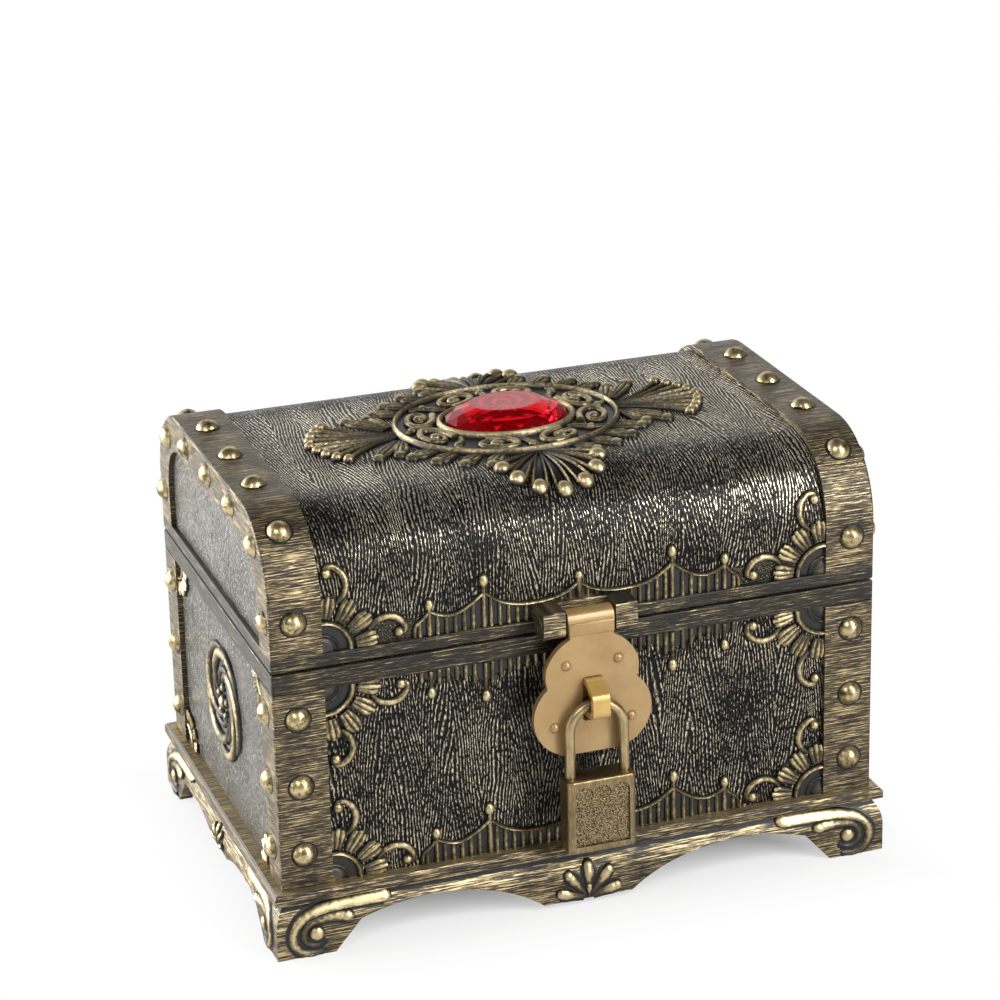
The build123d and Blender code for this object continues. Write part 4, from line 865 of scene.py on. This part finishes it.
fan = fan_flat()
small_fan = fan_flat(0.66, False)
copies, lid_copies, end_copies = [], [], []
for end in (-1, 1):
    for face in (1, -1):
        for flip, level in ((1, floor_height), (-1, rim_bottom)):
            copies.append(laid(fan, on_front, (-end, flip), (end * panel_edge_x, level), (1, face), 0.7))
            end_copies.append(laid(small_fan, on_end, (-face, flip), (face * end_edge_y, level), (end, 1)))
        place = (end * panel_edge_x, lid_rim_top - lid_bottom)
        lid_copies.append(laid(fan, on_lid, (-end, 1), place, (1, face), 0.7))
carved(copies, "base_corner_carving", "base_corner_fans")
carved(end_copies, "end_corner_carving", "end_corner_fans")
carved(lid_copies, "lid_corner_carving", "lid_corner_fans", flats=(fan, small_fan))


# Fringes

rib_pitch = 2.6
rib_gap = 1.2
fringe_half = 48.2
middle_finial = 11.0

# Each finial's distance from the middle, its height and its ball
finials = ((44.0, 9.9, 1.45), (28.0, 14.6, 1.6))

# The scalloped cord, from the outer end to the middle
fringe_line = [
    (48.3, 0.2), (48.0, 3.2), (46.0, 4.9), (44.0, 7.0), (41.0, 5.6), (37.0, 5.1), (32.5, 6.9), (28.0, 10.2),
    (24.6, 7.6), (20.0, 5.6), (14.0, 4.9), (8.0, 5.3), (3.5, 6.6), (0.0, 9.0),
]


def fringe_top(u):
    """The height of the fringe's cord at a distance from its middle."""
    u = abs(u)
    for (a, low), (b, high) in zip(fringe_line, fringe_line[1:]):
        if b <= u <= a:
            return low + (high - low) * (a - u) / (a - b)
    return 0


def fringe_ground(tall, inset):
    """The plain ground that a fringe's ribs stand on."""
    bpy.ops.mesh.primitive_grid_add(x_subdivisions=96, y_subdivisions=1, size=2 * MM)
    ground = bpy.context.object
    for vertex in ground.data.vertices:
        u = vertex.co.x / MM * fringe_half
        top = max(0.6, fringe_top(u) * tall - inset)
        vertex.co = (u * MM, (top if vertex.co.y > 0 else 0) * MM, 0.3 * MM)
    apply_modifier(ground, "SOLIDIFY", thickness=1.0 * MM, offset=-1)
    return ground


def fringe_flat(tall=1.0, hanging=False):
    """A fringe of upright ribs under a scalloped cord, with a finial at each peak."""
    parts = [fringe_ground(tall, 1.6 if hanging else 0.2)]
    for side in (-1, 1):
        for group in (fringe_line[:4], fringe_line[3:8], fringe_line[7:]):
            if not hanging:
                points = [(side * u, v * tall) for u, v in group]
                parts.append(ridge(points, 0.72, 1.65, steps=3))
        for u, top, ball in finials:
            shape = (0.95, 0.9, 0.8, 1.15) if not hanging else (0.95, 0.7, 0.7, 1.2)
            heights = (0.2, (top - 5.6) * tall, (top - 3.0) * tall, (top - 0.9) * tall)
            parts.append(ridge([(side * u, v) for v in heights], shape, 1.5, steps=3))
            parts.append(bead(side * u, (top - 0.8) * tall, ball, 1.75, 1.4, 90))
    for k in range(-18, 19):
        u = k * rib_pitch
        top = fringe_top(u) * tall - (0.4 if not hanging else 0)
        if top > 1 and all(abs(abs(u) - place) > rib_gap for place, _, _ in finials):
            parts.append(ridge([(u, -0.2), (u, top / 2), (u, top)], (0.86, 0.84, 0.78), 1.35, steps=2))
    top = middle_finial * tall
    parts.append(ridge([(0, 0.2), (0, top / 2), (0, top)], (0.9, 0.9, 1.1), 1.5, steps=3))
    parts.append(bead(0, top, 1.45, 1.7, 1.3, 90))
    return trimmed(joined(parts, "fringe_flat"))


def press_under_hinges(carving):
    """Presses a carving on the back down where a hinge leaf lies over it."""
    depth, edge = middle_y + panel_half_depth + 1.0 * MM, 0.3 * MM
    for vertex in carving.data.vertices:
        x, y, z = vertex.co
        for low, high in hinge_leaves:
            if low.x - edge < x < high.x + edge and low.z - edge < z < high.z + edge:
                vertex.co.y = min(y, depth)


rising = fringe_flat()
hung = fringe_flat(0.76, True)
base_copies, lid_copies = [], []
for face in (1, -1):
    base_copies.append(laid(rising, on_front, (1, 1), (0, floor_height), (1, face), 0.74))
    base_copies.append(laid(hung, on_front, (1, -1), (0, rim_bottom), (1, face), 0.74))
    lid_copies.append(laid(rising, on_lid, (1, 1), (0, lid_rim_top - lid_bottom), (1, face), 0.74))
for carving in (*base_copies[2:], lid_copies[1]):
    press_under_hinges(carving)
carved(base_copies, "base_fringe_carving", "base_fringes")
carved(lid_copies, "lid_fringe_carving", "lid_fringe", flats=(rising, hung))


# Medallions on the ends

def medallion_flat():
    """A whirl of crescents round a small flower."""
    parts = []
    for k in range(5):
        turn = k * 360 / 5
        outer = ((5.6, 0), (8.6, 26), (12.4, 56), (15.6, 92), (17.0, 132), (16.6, 166))
        inner = ((6.2, 40), (8.4, 66), (10.8, 98), (12.0, 130))
        arm, small_arm = ([polar(r, turn + t) for r, t in path] for path in (outer, inner))
        parts.append(ridge(arm, (0.6, 1.2, 1.75, 1.9, 1.45, 0.5), 0.95))
        parts.append(ridge(small_arm, (0.5, 1.05, 1.2, 0.4), 1.0, steps=4))
        parts.append(bead(*polar(4.4, turn + 20), 1.45, 1.5))
    parts.append(bead(0, 0, 2.3, 2.1))
    ring = [polar(7.0, t) for t in range(0, 360, 30)]
    parts.append(ridge(ring, 0.45, 1.1, closed=True, steps=3))
    return trimmed(joined(parts, "medallion_flat"))


medallion = medallion_flat()
middle_height = sum(corner.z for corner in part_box("end_medallion_left")) / 2
for side, end in (("left", -1), ("right", 1)):
    copy = laid(medallion, on_end, (-end, 1), (0, middle_height), (end, 1), 0.62)
    carved([copy], "end_whirl_" + side, "end_medallion_" + side)
bpy.data.objects.remove(medallion)


# Feet and apron

def scroll_flat(tail=1.0):
    """The scroll on a foot, with its eye at the origin's column and its tails running inwards."""
    outer = [
        (2.2, 1.2), (-1.6, 0.9), (-5.2, 3.0), (-6.4, 7.2), (-4.2, 11.2), (1, 13.4), (8, 14.2), (15, 14.4),
        (20.6, 14.5),
    ]
    inner = [
        (3.4, 4.6), (1.0, 3.2), (-2.0, 4.0), (-3.3, 7.0), (-1.6, 9.9), (2.4, 11.0), (6.4, 11.2), (9.6, 10.9),
    ]
    outer_radii = (0.85, 1.2, 1.4, 1.5, 1.6, 1.7, 1.8, 1.95, 2.0)
    inner_radii = (0.5, 0.8, 0.95, 1.0, 1.1, 1.3, 1.6, 1.7)
    parts = []
    for path, radii in ((outer, outer_radii), (inner, inner_radii)):
        path = [(u * tail, v) for u, v in path]
        parts.append(ridge(path, [radius + 0.65 for radius in radii], 0.1))
        parts.append(ridge(path, radii, 0.68))
        parts.append(bead(*path[-1], radii[-1], 1.36, 1.4))
    parts.append(bead(0.6, 6.9, 2.4, 1.35))
    return trimmed(joined(parts, "scroll_flat"), (0, 1, 0))


def shell_flat(radius, root):
    """The five-petalled shell on the middle of an apron."""
    parts = []
    for turn, share in ((16, 0.8), (52, 0.9), (90, 0.92), (128, 0.9), (164, 0.8)):
        parts += teardrop(turn, radius * 0.12, radius * share, radius * 0.34, 1.3, (0, root))
    parts += teardrop(90, 0.0, radius * 0.34, radius * 0.18, 1.34, (0, root))
    return trimmed(joined(parts, "shell_flat"), (0, 1, 0))


scroll, end_scroll = scroll_flat(), scroll_flat(0.9)
shell, end_shell = shell_flat(11.0, 2.4), shell_flat(6.5, 7.4)
scroll_inset = 11 * MM
scrolls, shells = [], []
for end in (-1, 1):
    for face in (1, -1):
        corner = end * (plinth_half_width - scroll_inset)
        scrolls.append(laid(scroll, on_plinth_front, (-end, 1), (corner, 0), (1, face)))
        corner = face * (plinth_half_depth - scroll_inset)
        scrolls.append(laid(end_scroll, on_plinth_end, (-face, 1), (corner, 0), (end, 1)))
    shells.append(laid(shell, on_plinth_front, (1, 1), (0, 0), (1, end)))
    shells.append(laid(end_shell, on_plinth_end, (1, 1), (0, 0), (end, 1)))
carved(scrolls, "foot_scroll_carving", "plinth_scrolls", flats=(scroll, end_scroll))
carved(shells, "apron_shell_carving", "plinth_shells", flats=(shell, end_shell))


# The ornament on top, laid out in millimetres from the lid's middle

ring_half_length, ring_half_depth = 33.0, 28.0
fan_root = 31.0
shoulder_fan_root = 27.5


def oval(half_length, half_depth):
    turns = [2 * math.pi * k / 24 for k in range(24)]
    return [(half_length * math.cos(turn), half_depth * math.sin(turn)) for turn in turns]


def top_curls():
    """Eight scrolls between the two oval rings, with bars and beads between them."""
    count = 8
    parts = []
    for k in range(count):
        middle = 2 * math.pi * k / count
        angle = middle + math.pi / count
        u, v = 26.3 * math.cos(angle), 21.3 * math.sin(angle)
        facing = math.degrees(math.atan2(v, u))
        hand = 1 if k % 2 else -1
        curl = []
        for step in range(11):
            out, along = polar(1 - step * 0.085, hand * (205 - step * 52))
            a, b = polar(4.6 * out, facing), polar(7.9 * along, facing + 90)
            curl.append((u + a[0] + b[0], v + a[1] + b[1]))
        parts.append(ridge(curl, [1.3 - step * 0.05 for step in range(11)], 1.05, steps=4, lift=0.85))
        parts.append(bead(u, v, 1.7, 1.5, lift=0.85))
        bar = [
            (reach * math.cos(middle + lean), (reach - 5) * math.sin(middle + lean))
            for reach, lean in ((22.4, -0.12), (25.0, -0.03), (28.6, 0.0), (31.6, 0.1))
        ]
        parts.append(ridge(bar, (0.9, 1.1, 1.1, 0.8), 1.0, steps=3, lift=0.8))
        parts.append(bead(*bar[2], 1.5, 1.4, lift=0.8))
    return parts


def flute(turn, near, far, width, rise, root, ball):
    """A spoon of a petal: two raised edges that part towards a ball, over a low dark ground."""
    spreads = (0.2, 0.52, 0.85, 1.0)
    spine = ray(root, turn, near, far, (0.0, 0.4, 0.75, 1.0))
    parts = []
    for side in (-1, 1):
        path = beside(spine, [side * spread * width * 0.38 for spread in spreads], turn)
        parts.append(ridge(path, (0.4, 0.55, 0.65, 0.7), rise / 0.7, steps=3))
    parts.append(ridge(spine, [width / 2 * spread for spread in spreads], 0.8 / width, steps=3))
    parts.append(bead(*spine[-1], ball, ball * 0.95, 1.1, turn))
    return parts


def on_top(parts, name, node, rubbed):
    """Lays parts on the middle of the lid's top, as the carving that stands for a node."""
    flat = trimmed(joined(parts, name + "_flat"))
    copy = laid(flat, on_lid, (1, 1), (0, lid_half_path), rubbed=rubbed)
    carved([copy], name + "_carving", node, flats=(flat,))


bpy.ops.mesh.primitive_cylinder_add(vertices=72, radius=MM, depth=2 * MM)
plate = bpy.context.object
plate.scale = (ring_half_length, ring_half_depth, 0.62)
plate = joined([plate], "ornament_plate")
parts = [plate] + top_curls()
parts.append(ridge(oval(ring_half_length - 0.1, ring_half_depth - 0.1), 1.0, 2.1, closed=True))
on_top(parts, "rosette", "rosette", 0.5)

parts = []
for side in (-1, 1):
    # a fine-ribbed fan at each end
    for k in range(9):
        turn = -34 + k * 8.5
        reach = 28.5 - abs(k - 4) * 0.75
        rib = [polar(r, turn * (0.55 + 0.45 * r / reach)) for r in (0.5, reach * 0.4, reach * 0.75, reach)]
        rib = [(side * (fan_root + u), v) for u, v in rib]
        parts.append(ridge(rib, (0.4, 0.5, 0.75, 0.85), 1.9, steps=3))
        parts.append(bead(*rib[-1], 1.9, 2.2))
    ground = [(side * u, 0) for u in (fan_root, 38, 46, 57)]
    parts.append(ridge(ground, (1.0, 4.5, 9.0, 15.0), 0.03, steps=3))
    for face in (-1, 1):
        # leaves beside that fan
        for turn, reach in ((52, 21.0), (68, 17.5)):
            heading = turn * face if side > 0 else 180 - turn * face
            parts += petal(heading, 7.0, reach, 4.6, 1.35, (side * fan_root, 0), 2.2)
        # leaves that hug the ring between the fans
        for place in (36, 48, 60, 71):
            angle = math.radians(place)
            u, v = ring_half_length * math.cos(angle), ring_half_depth * math.sin(angle)
            lean = math.degrees(math.atan2(v * 1.15, u)) - 16
            heading = face * (lean if side > 0 else 180 - lean)
            parts += petal(heading, 0.5, 8.6, 4.8, 1.35, (side * u, face * v), 2.25)
for face in (-1, 1):
    # the fan that runs over the shoulder
    for k, reach in enumerate((20.0, 22.2, 23.8, 24.5, 23.8, 22.2, 20.0)):
        turn = 90 + (k - 3) * 18.5
        parts += flute(face * turn, 1.5, reach - 2.6, 5.4, 1.5, (0, face * shoulder_fan_root), 2.6)
on_top(parts, "rosette_fan", "rosette_fans", 0.68)

# The bezel, the stone and its foil
parts = [ridge(oval(19.9, 14.9), 1.3, 1.9, closed=True), ridge(oval(21.6, 16.6), 0.6, 1.4, closed=True)]
on_top(parts, "bezel", "gem_bezel", 0.5)

stone_half_length, stone_half_depth, stone_sides = 18.3, 13.3, 16
stone_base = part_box("gem")[0].z / MM


def stone_ring(share, height, offset):
    """A ring of corners of the stone, at a share of its size and a height in millimetres."""
    length, depth = stone_half_length * share, stone_half_depth * share
    turns = [2 * math.pi * (k + offset) / stone_sides for k in range(stone_sides)]
    return [
        (length * math.cos(turn), middle_y / MM + depth * math.sin(turn), stone_base + height)
        for turn in turns
    ]


def hull(points, name):
    """A faceted body over a set of corners in millimetres, in an emptied cone's mesh."""
    bpy.ops.mesh.primitive_cone_add()
    made = bpy.context.object
    made.data.clear_geometry()
    made.data.vertices.add(len(points))
    for vertex, place in zip(made.data.vertices, points):
        vertex.co = Vector(place) * MM
    made = joined([made], name)
    in_edit(made, lambda: bpy.ops.mesh.convex_hull())
    return made


# Girdle, crown and table, each as its share of the stone, its height and its turn by half a side
corners = []
for ring in ((1.0, 0.7, 0), (1.0, 1.5, 0), (0.86, 3.6, 0.5), (0.6, 5.75, 0), (0.97, 0.05, 0)):
    corners += stone_ring(*ring)
finished(hull(corners, "red_stone"), "lid", "red_gem", "gem")

# The foil's dimples catch the light behind the stone
foil_half_length, foil_half_depth, foil_floor, dimple = 18.2, 13.2, 0.75, 0.42
foil_rings, foil_spokes = 16, 20
bpy.ops.mesh.primitive_uv_sphere_add(segments=foil_spokes, ring_count=foil_rings, radius=1)
foil = bpy.context.object
for vertex in foil.data.vertices:
    u, v, w = vertex.co
    ring = round(math.asin(max(-1, min(1, w))) / math.pi * foil_rings)
    spoke = round(math.atan2(v, u) / (2 * math.pi) * foil_spokes)
    depth = dimple if (ring + spoke) % 2 else 0.0
    height = stone_base - (0.02 + depth if w > 0 else foil_floor)
    vertex.co = (u * foil_half_length * MM, middle_y + v * foil_half_depth * MM, height * MM)
foil = joined([foil], "stone_foil")
in_edit(foil, lambda: bpy.ops.mesh.quads_convert_to_tris(), lambda: bpy.ops.mesh.dissolve_degenerate())
finished(foil, "lid", "red_gem", coats=[foil_coat()])


# Stage, lights and camera

def stage_coat():
    """White paper that keeps the chest's shadow close in and fades to plain white further out."""
    net = coat_net("white_paper")
    parts = net.parts(net.node("ShaderNodeTexCoord").outputs["Object"])
    shadow_half = (0.085, 0.06)
    reach = [net.calc("SUBTRACT", net.calc("ABSOLUTE", part), half) for part, half in zip(parts, shadow_half)]
    far = net.step(net.calc("MAXIMUM", *reach), -0.05, 0.03)
    share = net.calc("MULTIPLY", net.seen(), far)
    glow = net.node("ShaderNodeEmission", (1, 1, 1)).outputs[0]
    blend = net.node("ShaderNodeMixShader", share, net.shader.outputs[0], glow)
    net.put(net.tree.nodes["Material Output"].inputs["Surface"], blend.outputs[0])
    return net.done((0.84, 0.84, 0.84), 0.0, 0.6)


bpy.ops.mesh.primitive_plane_add(size=6)
paper = bpy.context.object
paper.name = "paper_floor"
paper.data.materials.append(stage_coat())

# White paper hangs behind, and a dark room lies overhead, beside and in front
world = bpy.data.worlds.new("studio")
bpy.context.scene.world = world
sky = Net(world)
x, y, z = sky.parts(sky.node("ShaderNodeTexCoord").outputs["Generated"])
side_level = sky.step(x, 0.48, 0.75, 1.0, 0.15)
rear_level = sky.step(y, -0.25, 0.45, 0.14, 1.0)
top_level = sky.step(z, 0.54, 0.82, 1.0, 0.05)
room = sky.calc("MULTIPLY", sky.calc("MULTIPLY", side_level, rear_level), top_level)
sky.put(sky.shader.inputs["Color"], (1, 1, 1))
sky.put(sky.shader.inputs["Strength"], sky.calc("MAXIMUM", sky.seen(), room))


def softbox(name, place, size, power):
    """A soft lamp that points at the chest's middle."""
    bpy.ops.object.light_add(type="AREA", location=place)
    lamp = bpy.context.object
    lamp.name = name
    lamp.data.shape = "RECTANGLE"
    lamp.data.size, lamp.data.size_y = size
    lamp.data.energy = power
    lamp.rotation_euler = (Vector((0, 0, 0.06)) - Vector(place)).to_track_quat("-Z", "Y").to_euler()


softbox("key_softbox", (-0.7, -0.8, 0.95), (0.45, 0.45), 6)
softbox("front_softbox", (0.66, -1.1, 0.74), (0.36, 1.25), 26)
softbox("left_softbox", (-1.15, 0.65, 0.33), (1.4, 0.6), 36)

# The camera stands where the photo was taken from
right = Vector((0.94315, -0.33151, -0.02367))
down = Vector((-0.13989, -0.33138, -0.93307))
forward = Vector((0.30148, 0.88334, -0.35892))
stance = Matrix((right, -down, -forward)).transposed().to_4x4()
bpy.ops.object.camera_add()
camera = bpy.context.object
camera.matrix_world = Matrix.Translation((-0.29979, -0.86541, 0.45672)) @ stance
camera.data.lens = 120.94
camera.data.sensor_width = 36.0
camera.data.clip_start = 0.01
camera.data.clip_end = 20
bpy.context.scene.camera = camera
bpy.context.scene.view_settings.view_transform = "Standard"
bpy.context.view_layer.update()
